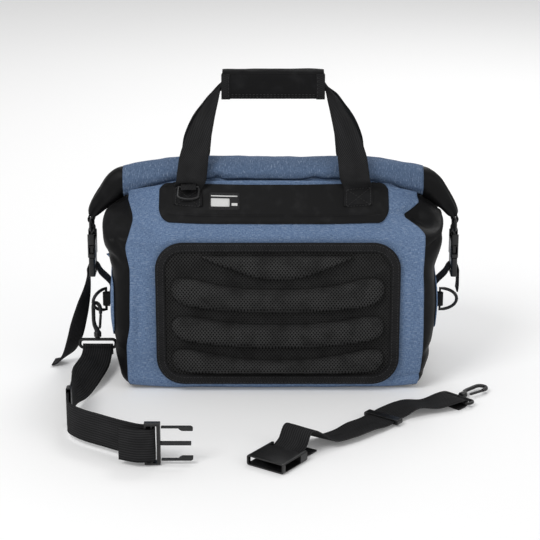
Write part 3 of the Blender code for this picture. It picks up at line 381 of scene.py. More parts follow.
black_plastic = moulded_plastic("black_moulded_plastic", (0.0085, 0.0085, 0.0090), 0.36)
label_cloth = plain_weave("pale_label_print", (0.74, 0.74, 0.73), 0.00015)
label_ground = plain_weave("dark_label_cloth", (0.010, 0.010, 0.011), 0.00015)
thread = plain_weave("grey_thread", (0.030, 0.030, 0.031), 0.0001, 3000.0, 0.6)
loop_pile = plain_weave("black_loop_pile", (0.012, 0.012, 0.012), 0.0012, 500.0, 0.95)
hook_pile = plain_weave("black_hook_tape", (0.009, 0.009, 0.009), 0.0007, 700.0, 0.6)

floor_finish = Finish("pale_studio_floor", (0.93, 0.93, 0.93), 0.90, Specular_IOR_Level=0.1,
                      Emission_Color=(1.0, 1.0, 1.0, 1.0), Emission_Strength=0.10)
floor_place = floor_finish.node("TexCoord", out="Object")
floor_cloud = floor_finish.grain(floor_place, (1.5, 1.5, 1.5))
floor_finish.feed("Base Color", floor_finish.mix(floor_cloud, (0.94, 0.94, 0.94), (0.92, 0.92, 0.92)))
floor.data.materials.append(floor_finish.material)
print("finishes:", len(bpy.data.materials))

# %% [markdown]
# ## Helpers for soft sheets
# Nearly all soft pieces are sheets: a grid is created, every corner is placed by
# a function of two numbers s and t, and a wall is added.  The UV map keeps the
# sheet's real size in metres.  A finished piece rides on a body, may stand for
# imported nodes, and takes a finish.

# %% Finishing a piece
def add_piece(name, shape, finish, body=None, stands_for=()):
    """Turn a bmesh into a named, shaded piece on a body."""
    mesh = bpy.data.meshes.new(name)
    shape.to_mesh(mesh)
    shape.free()
    mesh.materials.append(finish)
    mesh.shade_smooth()
    piece = bpy.data.objects.new(name, mesh)
    bpy.context.scene.collection.objects.link(piece)
    if body:
        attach(piece, body)
    if stands_for:
        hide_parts(*stands_for)
    return piece


def add_wall(piece, thickness, offset=0.0, even=True):
    """Thicken a sheet; offset -1 keeps its outside where it is."""
    wall = piece.modifiers.new("wall", "SOLIDIFY")
    wall.thickness = thickness
    wall.offset = offset
    wall.use_even_offset = even


def add_rounding(piece, width, segments=2, angle=30.0):
    rounding = piece.modifiers.new("rounding", "BEVEL")
    rounding.width = width
    rounding.segments = segments
    rounding.limit_method = "ANGLE"
    rounding.angle_limit = math.radians(angle)
    rounding.harden_normals = True


def add_smoothing(piece, levels):
    smoothing = piece.modifiers.new("smoothing", "SUBSURF")
    smoothing.levels = levels
    smoothing.render_levels = levels


def settle(piece):
    """Apply every modifier of a piece."""
    bpy.context.view_layer.update()
    graph = bpy.context.evaluated_depsgraph_get()
    mesh = bpy.data.meshes.new_from_object(piece.evaluated_get(graph))
    piece.modifiers.clear()
    piece.data = mesh


print("helpers ready")


# %% A sheet placed by a function
def sheet_shape(place, columns, rows, size, closed=False, towards=None):
    """A grid whose corners are placed by place(s, t); size is its real width and height."""
    shape = bmesh.new()
    uv = shape.loops.layers.uv.new("cloth")
    bmesh.ops.create_grid(shape, x_segments=columns, y_segments=rows, size=0.5)
    for face in shape.faces:
        for loop in face.loops:
            loop[uv].uv = ((loop.vert.co.x + 0.5) * size[0], (loop.vert.co.y + 0.5) * size[1])
    for corner in shape.verts:
        corner.co = place(corner.co.x + 0.5, corner.co.y + 0.5)
    if closed:
        bmesh.ops.remove_doubles(shape, verts=shape.verts, dist=1e-6)
        bmesh.ops.recalc_face_normals(shape, faces=shape.faces)
    if towards is not None:
        shape.normal_update()
        lean = sum((face.normal.dot(towards) for face in shape.faces), 0.0)
        if lean < 0:
            bmesh.ops.reverse_faces(shape, faces=shape.faces)
    return shape


def close_ends(shape):
    """Fill the open ends of a tube."""
    bmesh.ops.holes_fill(shape, edges=[edge for edge in shape.edges if edge.is_boundary], sides=0)
    bmesh.ops.recalc_face_normals(shape, faces=shape.faces)


def clamp(value, low=0.0, high=1.0):
    return min(max(value, low), high)


def squarish(angle, up_power, out_power):
    """Sine and cosine of a rounded box: the smaller the power, the squarer."""
    up, out = math.sin(angle), math.cos(angle)
    return math.copysign(abs(up) ** up_power, up), math.copysign(abs(out) ** out_power, out)


def table_value(table, at):
    """Read a smooth value from (position, value) pairs."""
    for (p0, v0), (p1, v1) in zip(table, table[1:]):
        if at <= p1:
            share = clamp((at - p0) / (p1 - p0))
            share = share * share * (3 - 2 * share)
            return v0 + (v1 - v0) * share
    return table[-1][1]


def curve_value(p, q, r, s, f):
    """A smooth curve from q to r, led by its neighbours p and s."""
    bend = 2 * p - 5 * q + 4 * r - s
    twist = 3 * q - p - 3 * r + s
    return 0.5 * (2 * q + (r - p) * f + bend * f * f + twist * f ** 3)


def smooth_path(points, count):
    """Even samples of a smooth curve through tuples of any length."""
    wide = [points[0]] + list(points) + [points[-1]]
    samples = []
    for i in range(count):
        place = i * (len(points) - 1) / (count - 1)
        k = min(int(place), len(points) - 2)
        f = place - k
        a, b, c, d = wide[k:k + 4]
        samples.append([curve_value(p, q, r, s, f) for p, q, r, s in zip(a, b, c, d)])
    return samples


print("sheets and paths ready")

# %% [markdown]
# ## Stitches
# Thread is drawn as real stitches: small ellipsoids laid end to end along a path.
# Each has twenty faces, so even long rows stay light.

# %% Stitch rows
STITCH = 0.0034
STITCH_STEP = 0.0044
STITCH_THICK = 0.0008


def add_stitches(name, rows, body, step=STITCH_STEP):
    """One piece with every stitch; rows are (points, outward direction)."""
    shape = bmesh.new()
    count = 0
    for points, out in rows:
        points = [Vector(point) for point in points]
        lengths = [(b - a).length for a, b in zip(points, points[1:])]
        total = sum(lengths)
        number = max(1, int(total / step))
        for i in range(number):
            at = (i + 0.5) * total / number
            k = 0
            while k < len(lengths) - 1 and at > lengths[k]:
                at -= lengths[k]
                k += 1
            way = (points[k + 1] - points[k]).normalized()
            spot = points[k] + way * at
            up = (out - way * out.dot(way)).normalized()
            frame_axes = Matrix((way, up.cross(way), up)).transposed().to_4x4()
            size = Matrix.Diagonal((STITCH / 2, STITCH_THICK / 2, STITCH_THICK / 2, 1.0))
            bmesh.ops.create_icosphere(shape, subdivisions=1, radius=1.0,
                                       matrix=Matrix.Translation(spot) @ frame_axes @ size)
            count += 1
    print(name, count, "stitches")
    add_piece(name, shape, thread, body)


def straight(start, end, parts):
    """Evenly spaced pairs from start to end, for a row of thread."""
    return [(start[0] + (end[0] - start[0]) * k / parts, start[1] + (end[1] - start[1]) * k / parts)
            for k in range(parts + 1)]


# %% [markdown]
# ## The skin of the bag
# One function gives the outside of the bag everywhere: flat faces up to the
# shoulder, a slope to the mouth, and rounded gussets.  Every panel, patch and
# strap that lies on the bag asks it for its place.  Slow noise dents the skin
# inwards by a few millimetres, because a filled soft bag is never flat.

# %% Outline of the bag
BASE_HALF_WIDTH = 0.197
FACE_HALF_WIDTH = 0.187
HALF_DEPTH = 0.100
SHOULDER_HEIGHT = 0.205
MOUTH_HEIGHT = 0.264
END_DROOP = 0.030
MOUTH_BACK_Y = 0.060
MOUTH_FRONT_Y = 0.045
ROLL_HALF_WIDTH = 0.195
ROLL_LEAN = 0.030              # how far the roll leans to the wearer's side
CORNER_RADIUS = 0.026
CORNER_ARC = 0.0395            # length of skin round a corner
SIDE_FLAT = 0.074              # and from there to the middle of a side
SIDE_REACH = FACE_HALF_WIDTH + CORNER_ARC + SIDE_FLAT
TURN = 0.3                     # share of a gusset that one corner takes
BUCKLE_CLEAR = 0.013           # half width of the lane kept free for the buckles
SIDE_TABLE = [(0.0, 0.197), (0.060, 0.2068), (0.110, 0.211), (0.154, 0.2082), (0.201, 0.218), (0.240, 0.1895)]
EAR_TABLE = [(0.0, 0.0), (0.201, 0.0), (0.226, 0.0165), (0.234, 0.0150), (0.242, 0.0070)]


def mouth_share(x):
    """0 in the middle of the mouth, 1 at its ends."""
    return min(abs(x) / ROLL_HALF_WIDTH, 1.0)


def mouth_z(x):
    return MOUTH_HEIGHT - END_DROOP * mouth_share(x) ** 3


def face_y(x, z, face):
    """Half depth of the skin; face is -1 on the wearer's side."""
    middle = MOUTH_BACK_Y if face < 0 else MOUTH_FRONT_Y
    mouth = middle * (1.0 - 0.75 * mouth_share(x) ** 3)
    share = (z - SHOULDER_HEIGHT) / (mouth_z(x) - SHOULDER_HEIGHT)
    share = (share + math.sqrt(share * share + 0.02)) / 2
    return HALF_DEPTH + (mouth - HALF_DEPTH) * min(share, 1.06)


def side_point(s, z, side):
    """A point on a gusset, s from 0 at the wearer's face to 1 at the front."""
    width = table_value(SIDE_TABLE, z) - FACE_HALF_WIDTH
    back = face_y(FACE_HALF_WIDTH, z, -1)
    front = face_y(FACE_HALF_WIDTH, z, 1)
    corner = min(CORNER_RADIUS, 0.9 * min(back, front))
    if s <= TURN:
        angle = s / TURN * math.pi / 2
        place = (width * math.sin(angle), -(back - corner) - corner * math.cos(angle))
    elif s >= 1.0 - TURN:
        angle = (1.0 - s) / TURN * math.pi / 2
        place = (width * math.sin(angle), (front - corner) + corner * math.cos(angle))
    else:
        share = (s - TURN) / (1.0 - 2 * TURN)
        place = (width, -(back - corner) + share * (back + front - 2 * corner))
    free = clamp((abs(place[1]) - BUCKLE_CLEAR) / BUCKLE_CLEAR)
    ear = table_value(EAR_TABLE, z) * free * math.sin(math.pi / 2 * min(s / TURN, (1.0 - s) / TURN, 1.0))
    return Vector((side * (FACE_HALF_WIDTH + place[0] + ear), place[1], z))


def bare_skin(reach, z, face):
    """Skin at a distance from the middle plane, measured along the cloth."""
    side = 1 if reach >= 0 else -1
    over = abs(reach) - FACE_HALF_WIDTH
    if over <= 0:
        return Vector((reach, face * face_y(reach, z, face), z))
    flat = 0.5 - TURN
    s = TURN * over / CORNER_ARC if over < CORNER_ARC else TURN + flat * (over - CORNER_ARC) / SIDE_FLAT
    return side_point(s if face < 0 else 1.0 - s, z, side)


print("half width at the shoulder:", table_value(SIDE_TABLE, SHOULDER_HEIGHT))

# %% Dents and the rounded foot
DENT = 0.0036
FOOT_RADIUS = 0.016
CORNER_RISE = 0.0045           # the base turns up this much at its ends
PAD_CENTRE = (0.006, 0.1065)
PAD_SIZE = (0.310, 0.189)
PAD_RADIUS = 0.035
FOLDS = [                      # from (x, z), to (x, z), half width, depth
    ((-0.182, 0.222), (-0.140, 0.208), 0.0050, 0.0030), ((-0.176, 0.196), (-0.150, 0.180), 0.0060, 0.0020),
    ((-0.170, 0.130), (-0.174, 0.040), 0.0050, 0.0022), ((0.172, 0.228), (0.120, 0.214), 0.0050, 0.0028),
    ((0.196, 0.020), (0.150, 0.017), 0.0030, 0.0034), ((0.176, 0.170), (0.180, 0.060), 0.0060, 0.0020),
    ((-0.210, 0.216), (-0.190, 0.180), 0.0045, 0.0036), ((-0.214, 0.182), (-0.196, 0.172), 0.0050, 0.0040),
    ((-0.206, 0.062), (-0.190, 0.050), 0.0060, 0.0030), ((0.214, 0.205), (0.196, 0.190), 0.0045, 0.0036),
    ((0.214, 0.060), (0.196, 0.045), 0.0060, 0.0030)]
TUCK = ((0.1740, 0.2280), (0.2080, 0.2180), 0.0060, 0.0110)   # the upper right, where the gusset folds in
MOUTH_CALM = 0.012             # the cloth is nearly smooth this far below the mouth


def dent_depth(point):
    """How far the filled cloth is dented at a point, in metres."""
    slow = noise.noise(Vector((point.x * 9.0, point.y * 9.0 + 3.0, point.z * 12.0)))
    fold = noise.noise(Vector((point.x * 26.0, point.y * 26.0 + 9.0, point.z * 11.0 + 5.0)))
    cross = noise.noise(Vector((point.x * 10.0 + 2.0, point.y * 10.0, point.z * 34.0)))
    depth = DENT * (0.5 + 0.55 * slow + 0.42 * fold + 0.34 * cross)
    calm = clamp((MOUTH_HEIGHT - MOUTH_CALM - point.z) / 0.05, 0.25)
    depth = max(depth, 0.0) * calm
    folds = FOLDS + [TUCK] if point.y < 0 else FOLDS
    for (x0, z0), (x1, z1), wide, deep in folds:
        run = Vector((x1 - x0, z1 - z0))
        share = clamp(((point.x - x0) * run.x + (point.z - z0) * run.y) / run.length_squared)
        away = math.hypot(point.x - x0 - run.x * share, point.z - z0 - run.y * share)
        depth += deep * math.exp(-(away / wide) ** 2) * math.sin(math.pi * (0.15 + 0.7 * share))
    return depth


def foot_inset(z):
    if z >= FOOT_RADIUS:
        return 0.0
    share = 1.0 - max(z, 0.0) / FOOT_RADIUS
    return FOOT_RADIUS * (1.0 - math.sqrt(max(1.0 - share * share, 0.0)))


def skin(reach, z, face, lift=0.0):
    """A point lift above the soft outside of the bag."""
    step = 0.002
    across = bare_skin(reach + step, z, face) - bare_skin(reach - step, z, face)
    upward = bare_skin(reach, z + step, face) - bare_skin(reach, z - step, face)
    out = across.cross(upward).normalized() * (-face)
    if out.dot(Vector((reach, face * 0.5, 0.0))) < 0:
        out = -out
    point = bare_skin(reach, z, face)
    level = Vector((out.x, out.y, 0.0)).normalized()
    end = clamp((abs(point.x) - 0.120) / 0.070)
    rise = CORNER_RISE * end * end * max(1.0 - z / 0.05, 0.0)
    return point + out * (lift - dent_depth(point)) - level * foot_inset(z) + Vector((0.0, 0.0, rise))


print("dents up to", DENT * 1000, "mm")

# %% [markdown]
# ## Blue faces and black gussets
# The faces and gussets are welded along upright seams that wander a little.  At
# the upper right the gusset is tucked in, and a dark wedge cuts into the blue.
# Each face is one sheet between its two seams, and each gusset one sheet that
# starts just under them, so the weld shows as a real step.

# %% Where the seams run
LEFT_SEAM = [                  # height, distance from the middle
    (0.0, 0.184), (0.012, 0.1880), (0.055, 0.1885), (0.094, 0.1835), (0.161, 0.1820), (0.192, 0.1865),
    (0.2215, 0.1795), (0.247, 0.1930)]
RIGHT_SEAM = [
    (0.0, 0.186), (0.018, 0.1930), (0.056, 0.1945), (0.124, 0.1925), (0.190, 0.1915), (0.206, 0.1915),
    (0.2285, 0.1690), (0.2345, 0.1890), (0.2400, 0.1880)]
FRONT_SEAM = [(0.0, 0.186), (0.05, 0.190), (0.10, 0.186), (0.16, 0.191), (0.205, 0.187), (0.25, 0.190)]
LAP = 0.006                    # how far a gusset runs on under a face
SHEET_WALL = 0.0011
WEARER_WAY = Vector((0, -1, 0))
EVEN_ROWS = 0.62               # share of the rows that are evenly spaced, and where they end
EVEN_TOP = SHOULDER_HEIGHT - 0.012


def seam_reach(side, face, z):
    if face > 0:
        return table_value(FRONT_SEAM, z)
    return table_value(LEFT_SEAM if side < 0 else RIGHT_SEAM, z)


def row_z(t, reach):
    """Even rows up to the shoulder and closer ones above it."""
    foot = 0.0006
    top = mouth_z(reach) + 0.006
    if t <= EVEN_ROWS:
        return foot + (EVEN_TOP - foot) * t / EVEN_ROWS
    return EVEN_TOP + (top - EVEN_TOP) * (t - EVEN_ROWS) / (1.0 - EVEN_ROWS)


# %% Faces
WELD_WIDTH = 0.011             # a shallow line marks the inner edge of each weld
WELD_DEPTH = 0.0005


def blue_face(name, face, stands_for):
    def place(s, t):
        guess = (2 * s - 1) * FACE_HALF_WIDTH
        z = row_z(t, guess)
        left, right = -seam_reach(-1, face, z), seam_reach(1, face, z)
        reach = left + (right - left) * s
        weld = min(reach - left, right - reach)
        line = WELD_DEPTH * math.exp(-((weld - WELD_WIDTH) / 0.0012) ** 2)
        return skin(reach, z, face, SHEET_WALL - line)
    shape = sheet_shape(place, 150, 96, (0.38, 0.29), towards=Vector((0, face, 0)))
    piece = add_piece(name, shape, blue_cloth, "bag", stands_for)
    add_wall(piece, SHEET_WALL, -1.0, even=False)
    return piece


blue_face("wearer_face", -1, ["back_panel"])
blue_face("outer_face", 1, ["front_panel"])
print("faces made")


# %% Gussets
def gusset(name, side, stands_for):
    def place(s, t):
        z = row_z(t, FACE_HALF_WIDTH)
        if s <= 0.5:
            start = seam_reach(side, -1, z) - LAP
            return skin(side * (start + (SIDE_REACH - start) * s / 0.5), z, -1)
        start = seam_reach(side, 1, z) - LAP
        return skin(side * (SIDE_REACH + (start - SIDE_REACH) * (s - 0.5) / 0.5), z, 1)
    shape = sheet_shape(place, 92, 96, (0.24, 0.29), towards=Vector((side, 0, 0)))
    piece = add_piece(name, shape, black_film, "bag", stands_for)
    add_wall(piece, SHEET_WALL, -1.0, even=False)
    return piece


gusset("left_side_gusset", -1, ["left_gusset"])
gusset("right_side_gusset", 1, ["right_gusset"])


def lens_patch(name, side, low, high, half_wide, stands_for):
    """A blue welded lens in the middle of a side."""
    def place(s, t):
        z = low + (high - low) * (0.5 - 0.5 * math.cos(math.pi * t))
        wide = half_wide * (1 - (2 * t - 1) ** 4) + 0.002
        offset = (2 * s - 1) * wide
        face = -1 if offset <= 0 else 1
        return skin(side * (SIDE_REACH - abs(offset)), z, face, SHEET_WALL + 0.0002)
    shape = sheet_shape(place, 44, 30, (2 * half_wide, high - low), towards=Vector((side, 0, 0)))
    piece = add_piece(name, shape, blue_cloth, "bag", stands_for)
    add_wall(piece, 0.0010, 0.0)


lens_patch("left_lens_patch", -1, 0.062, 0.160, 0.089, ["left_side_patch"])
lens_patch("right_lens_patch", 1, 0.070, 0.160, 0.080, ["right_side_patch"])
print("gussets made")

# %% [markdown]
# ## Neck, patches and label
# Inside the roll the cloth goes on as a neck.  Under each handle's feet a
# black patch is formed over the slope, with one pressed line above its lower
# edge.  A small blank label sits beside the left foot.

# %% Neck
NECK_HALF_WIDTH = 0.186
NECK_DROP = 0.012
NECK_RISE = 0.013


def neck_place(s, t):
    deep, wide = squarish(2 * math.pi * s, 0.35, 0.6)
    x = wide * NECK_HALF_WIDTH
    face = 1 if deep >= 0 else -1
    low = mouth_z(x) - NECK_DROP
    high = mouth_z(x) + NECK_RISE
    z = low + (high - low) * t
    inner = face_y(x, min(z, mouth_z(x)), face) - 0.004
    roll_y = -ROLL_LEAN * (1 - (x / ROLL_HALF_WIDTH) ** 2)
    depth = abs(deep)
    y = face * inner * depth
    blend_up = t * t
    return Vector((x, y * (1 - blend_up) + (roll_y + face * 0.012 * depth) * blend_up, z))


neck = add_piece("mouth_neck", sheet_shape(neck_place, 120, 8, (0.8, 0.03)), blue_cloth)
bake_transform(neck)
print("neck made")


# %% Patches and label
PATCH_X = (-0.145, 0.147)
PATCH_Z = (0.2210, 0.2640)
PATCH_WALL = 0.0016
PATCH_LIFT = 0.0022
PATCH_TOP = PATCH_LIFT + PATCH_WALL
PRESSED_INSET = 0.0085         # from the edge of a patch to its pressed line


def rounded_half(v, half_width, half_height, radius):
    """Half width of a rounded rectangle at a height v from its middle."""
    over = abs(v) - (half_height - radius)
    if over <= 0:
        return half_width
    return half_width - radius + math.sqrt(max(radius * radius - over * over, 0.0))


def patch_shape(face, x_range, z_range, radius, lift, columns, rows, pressed=0.0, rim_drop=0.0010):
    """A rounded rectangle on the skin; pressed is the depth of a line near its lower edge."""
    half = (z_range[1] - z_range[0]) / 2
    centre = (x_range[0] + x_range[1]) / 2

    def place(s, t):
        v = half * math.sin(math.pi / 2 * (2 * t - 1))
        width = rounded_half(v, (x_range[1] - x_range[0]) / 2, half, radius)
        x = centre + (2 * s - 1) * width
        z = (z_range[0] + z_range[1]) / 2 + v
        edge = min(z - z_range[0], width - abs(x - centre))
        line = math.exp(-((edge - PRESSED_INSET) / 0.0011) ** 2)
        rim = math.exp(-(edge / 0.0016) ** 2)
        return skin(x, z, face, lift - pressed * line - rim_drop * rim)
    size = (x_range[1] - x_range[0], 2 * half)
    return sheet_shape(place, columns, rows, size, towards=Vector((0, face, 0)))


for face, name, node in ((-1, "wearer_patch", "back_patch"), (1, "outer_patch", "front_patch")):
    shape = patch_shape(face, PATCH_X, PATCH_Z, 0.014, PATCH_TOP, 150, 64, 0.0011)
    patch = add_piece(name, shape, patch_film, "bag", [node])
    add_wall(patch, PATCH_WALL, -1.0, even=False)

label_shape = patch_shape(-1, (-0.0810, -0.0420), (0.2355, 0.2545), 0.0012, PATCH_TOP + 0.0009, 16, 10)
label = add_piece("sewn_label", label_shape, label_ground, "bag", ["name_label"])
add_wall(label, 0.0007, -1.0, even=False)
for name, x_range, z_range in (("label_field", (-0.0785, -0.0550), (0.2390, 0.2480)),
                               ("label_stripe", (-0.0785, -0.0450), (0.2500, 0.2512)),
                               ("label_foot_stripe", (-0.0525, -0.0450), (0.2400, 0.2430))):
    shape = patch_shape(-1, x_range, z_range, 0.0004, PATCH_TOP + 0.00125, 8, 4, rim_drop=0.0)
    field = add_piece(name, shape, label_cloth, "bag")
    add_wall(field, 0.0005, -1.0, even=False)
label_corners = [(-0.0790, 0.2375), (-0.0440, 0.2375), (-0.0440, 0.2525), (-0.0790, 0.2525)]
label_rows = []
for start, end in zip(label_corners, label_corners[1:] + label_corners[:1]):
    points = [skin(x, z, -1, PATCH_TOP + 0.0010) for x, z in straight(start, end, 6)]
    label_rows.append((points, Vector((0, -0.8, 0.6))))
add_stitches("label_stitches", label_rows, "bag", step=0.0040)
print("patches made")

# %% [markdown]
# ## Base
# The base is a tray of the same coated cloth.  Its edge curves up into the
# gussets, so only a thin dark line shows.

# %% Base tray
BASE_CORNER = 0.022


def base_place(s, t):
    half_y = (HALF_DEPTH - FOOT_RADIUS) * 0.995
    v = half_y * math.sin(math.pi / 2 * (2 * t - 1))
    width = rounded_half(v, BASE_HALF_WIDTH - FOOT_RADIUS, half_y, BASE_CORNER)
    return Vector(((2 * s - 1) * width, v, 0.0003 + 0.0005 * abs(2 * s - 1) ** 12))


base = add_piece("base_tray", sheet_shape(base_place, 40, 20, (0.38, 0.19), towards=Vector((0, 0, -1))),
                 black_film, "bag", ["base_panel"])
add_wall(base, 0.0016, -1.0, even=False)
print("base made")

# %% [markdown]
# ## The back pad
# The pad is a mesh-covered board with four foam ribs: a crescent at the top and
# three bars, each bowed down a little.  Foam under knitted mesh swells between
# its seams, so each rib starts as a slightly thin closed bar and Blender's cloth
# is blown up from inside for a few steps.  The board is one crowned sheet.

# %% Board of the pad
BOARD_LIFT = 0.0006
BOARD_THICK = 0.0032
BOARD_INSET = 0.001
BOARD_CROWN = 0.0012
PAD_FACE = -(HALF_DEPTH + BOARD_LIFT + BOARD_THICK)
RIBS = [                       # low edge, high edge, half width, dip of each edge, end shape, name
    (0.1800, 0.1875, 0.102, 0.0280, 0.0005, 2.2, "crescent_rib"),
    (0.1180, 0.1620, 0.137, 0.0110, 0.0180, 12.0, "upper_rib"),
    (0.0710, 0.1100, 0.137, 0.0120, 0.0130, 12.0, "middle_rib"),
    (0.0265, 0.0660, 0.137, 0.0015, 0.0180, 12.0, "lower_rib")]


def board_place(s, t):
    half = PAD_SIZE[1] / 2 - BOARD_INSET
    v = half * math.sin(math.pi / 2 * (2 * t - 1))
    width = rounded_half(v, PAD_SIZE[0] / 2 - BOARD_INSET, half, PAD_RADIUS)
    x = PAD_CENTRE[0] + (2 * s - 1) * width
    z = PAD_CENTRE[1] + v
    crown = math.cos(math.pi / 2 * min(abs(2 * s - 1), 1.0)) ** 0.5
    crown *= math.cos(math.pi / 2 * abs(v) / half) ** 0.5
    ripple = 0.0007 * noise.noise(Vector((x * 60, 1.0, z * 60)))
    return Vector((x, PAD_FACE - BOARD_CROWN * crown - ripple, z))


# The board takes the dimmed mesh: painted shade between the ribs.
board = add_piece("pad_board", sheet_shape(board_place, 90, 60, PAD_SIZE, towards=WEARER_WAY),
                  channel_shade_mesh, "bag", ["lumbar_pad"])
add_wall(board, BOARD_THICK, -1.0)
print("board made")

# %% Ribs, swollen by cloth
RIB_DEPTH = 0.0102
RIB_SUNK = 0.0020
VOXEL = 0.0034
PRESSURE = 4.0
STEPS = 14
SWELL_CAP = 0.0035
RIB_SQUARE = 0.78              # 1 is a round section, 0 a square one


def rib_shape(low, high, half_width, dip_low, dip_high, end_shape):
    """A closed bar: a grid wound round X, its ends drawn in."""
    def place(s, t):
        along = 2 * t - 1
        x = PAD_CENTRE[0] + along * half_width
        bow = 1 - along * along
        bottom = low - dip_low * bow
        top = high - dip_high * bow
        thin = max(math.sqrt(max(1 - abs(along) ** end_shape, 0.0)), 0.02)
        centre = (bottom + top) / 2 if end_shape > 3 else top - (top - bottom) * 0.15
        half = (top - bottom) / 2 * thin
        out, up = squarish(2 * math.pi * s, RIB_SQUARE, RIB_SQUARE)
        middle = (bottom + top) / 2 + (centre - (bottom + top) / 2) * (1 - thin)
        out_size = RIB_DEPTH * (0.25 + 0.75 * thin) if out > 0 else RIB_SUNK
        return Vector((x, PAD_FACE - out * out_size, middle + up * half))
    shape = sheet_shape(place, 28, 96, (0.08, 2 * half_width), closed=True)
    close_ends(shape)
    return shape


def swell(piece, cap):
    """Blow a closed piece up with cloth pressure and keep the movement under a cap."""
    remesh = piece.modifiers.new("even_mesh", "REMESH")
    remesh.mode = "VOXEL"
    remesh.voxel_size = VOXEL
    settle(piece)
    before = [vertex.co.copy() for vertex in piece.data.vertices]
    cloth = piece.modifiers.new("blown_cloth", "CLOTH")
    cloth.settings.use_pressure = True
    cloth.settings.uniform_pressure_force = PRESSURE
    cloth.settings.effector_weights.gravity = 0.0
    cloth.settings.tension_stiffness = 12.0
    cloth.settings.bending_stiffness = 0.4
    cloth.point_cache.frame_start = 1
    cloth.point_cache.frame_end = STEPS
    for number in range(1, STEPS + 1):
        bpy.context.scene.frame_set(number)
    settle(piece)
    for vertex, start in zip(piece.data.vertices, before):
        move = vertex.co - start
        if move.length > cap:
            vertex.co = start + move * (cap / move.length)
    bpy.context.scene.frame_set(1)


for *sizes, name in RIBS:
    rib = add_piece(name, rib_shape(*sizes), pad_mesh)
    swell(rib, SWELL_CAP)
    rib.data.shade_smooth()
    add_smoothing(rib, 1)
    settle(rib)
    rib.data.shade_smooth()
    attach(rib, "bag")
print("ribs made:", len(RIBS))

# %% [markdown]
# ## Binding of the pad
# A folded tape is sewn over the pad's edge with two rows of thread.  It is one
# closed strip wound round the outline, with a rounded section.

# %% Binding tape and its stitches
BINDING_WIDE = 0.0125
BINDING_HIGH = 0.0042
BINDING_OVER = 0.0005          # how far it stands past the pad's edge
BINDING_FOOT = PAD_FACE + 0.0012
PUCKERS = 62


def outline_point(share, grow):
    """A point on the pad's outline, grow metres outside it."""
    half_x = PAD_SIZE[0] / 2 - PAD_RADIUS
    half_z = PAD_SIZE[1] / 2 - PAD_RADIUS
    quarter = math.pi / 2 * PAD_RADIUS
    runs = [2 * half_z, quarter, 2 * half_x, quarter, 2 * half_z, quarter, 2 * half_x, quarter]
    at = (share % 1.0) * sum(runs)
    k = 0
    while at > runs[k] and k < 7:
        at -= runs[k]
        k += 1
    part = at / runs[k]
    corners = [(1, 1), (-1, 1), (-1, -1), (1, -1)]
    if k % 2 == 0:
        side = k // 2
        out = [(1, 0), (0, 1), (-1, 0), (0, -1)][side]
        way = (-out[1], out[0])
        x = out[0] * (half_x + PAD_RADIUS) + way[0] * (part - 0.5) * runs[k]
        z = out[1] * (half_z + PAD_RADIUS) + way[1] * (part - 0.5) * runs[k]
    else:
        sign = corners[k // 2]
        angle = math.pi / 2 * (k // 2) + math.pi / 2 * part
        out = (math.cos(angle), math.sin(angle))
        x = sign[0] * half_x + PAD_RADIUS * out[0]
        z = sign[1] * half_z + PAD_RADIUS * out[1]
    return Vector((PAD_CENTRE[0] + x + out[0] * grow, 0, PAD_CENTRE[1] + z + out[1] * grow))


def binding_place(s, t):
    high, flat = squarish(2 * math.pi * s, 0.7, 0.45)
    rim = outline_point(t, BINDING_OVER - BINDING_WIDE / 2 + flat * BINDING_WIDE / 2)
    pucker = 0.00035 * math.sin(2 * math.pi * t * PUCKERS)
    rim.y = BINDING_FOOT - (high * 0.5 + 0.5) * BINDING_HIGH + pucker * max(high, 0.0)
    return rim


add_piece("pad_edge_tape", sheet_shape(binding_place, 20, 300, (0.03, 0.93), closed=True),
          binding_band, "bag", ["pad_binding"])
tape_top = BINDING_FOOT - BINDING_HIGH
tape_rows = []
for inset in (0.0030, 0.0098):
    points = [outline_point(k / 240, BINDING_OVER - inset) for k in range(241)]
    tape_rows.append(([Vector((p.x, tape_top - 0.0001, p.z)) for p in points], WEARER_WAY))
add_stitches("pad_stitches", tape_rows, "bag")
print("binding made")

# %% [markdown]
# ## The roll
# The mouth is rolled towards the wearer.  The roll is thickest in the middle,
# sags where it leaves the faces, and shows short dents where the stiffener
# inside ends.  Its black ends are pulled down to the buckles, folded flat.

# %% Rolled cloth
ROLL_WRAP = 0.0026             # what one turn of cloth adds


def roll_half(x):
    return 0.0122 + 0.0058 * mouth_share(x) ** 2


def roll_centre(x):
    share = mouth_share(x)
    return Vector((x, -ROLL_LEAN * (1 - share ** 2), mouth_z(x) + 0.0158 + 0.0052 * share ** 2))


DENTS = [                      # place along the roll, half width, depth
    (-0.072, 0.0070, 0.0060), (0.052, 0.0080, 0.0050), (-0.120, 0.0140, 0.0030), (0.150, 0.0110, 0.0040),
    (0.128, 0.0070, 0.0030)]


def roll_place(s, t):
    x = (2 * t - 1) * ROLL_HALF_WIDTH
    share = abs(x) / ROLL_HALF_WIDTH
    angle = 2 * math.pi * s - math.pi / 2
    thick = 0.0255 - 0.0095 * share ** 2
    half = roll_half(x)
    layer = 1.0 + ROLL_WRAP * s / half * 0.6
    wave = 0.0016 * noise.noise(Vector((x * 22, math.cos(angle) * 1.6, math.sin(angle) * 1.6 + 4)))
    wave += 0.0010 * noise.noise(Vector((x * 55, math.cos(angle) * 3.0 + 7, math.sin(angle) * 3.0)))
    front = max(-math.cos(angle), 0.0)
    low = max(-math.sin(angle) * 0.8 + 0.3, 0.0)
    for spot, wide, deep in DENTS:
        wave -= deep * front * low * math.exp(-((x - spot) / wide) ** 2)
    deep = math.cos(angle) * (thick * layer + wave)
    high = math.sin(angle) * (half * layer + wave)
    return roll_centre(x) + Vector((0, deep, high))


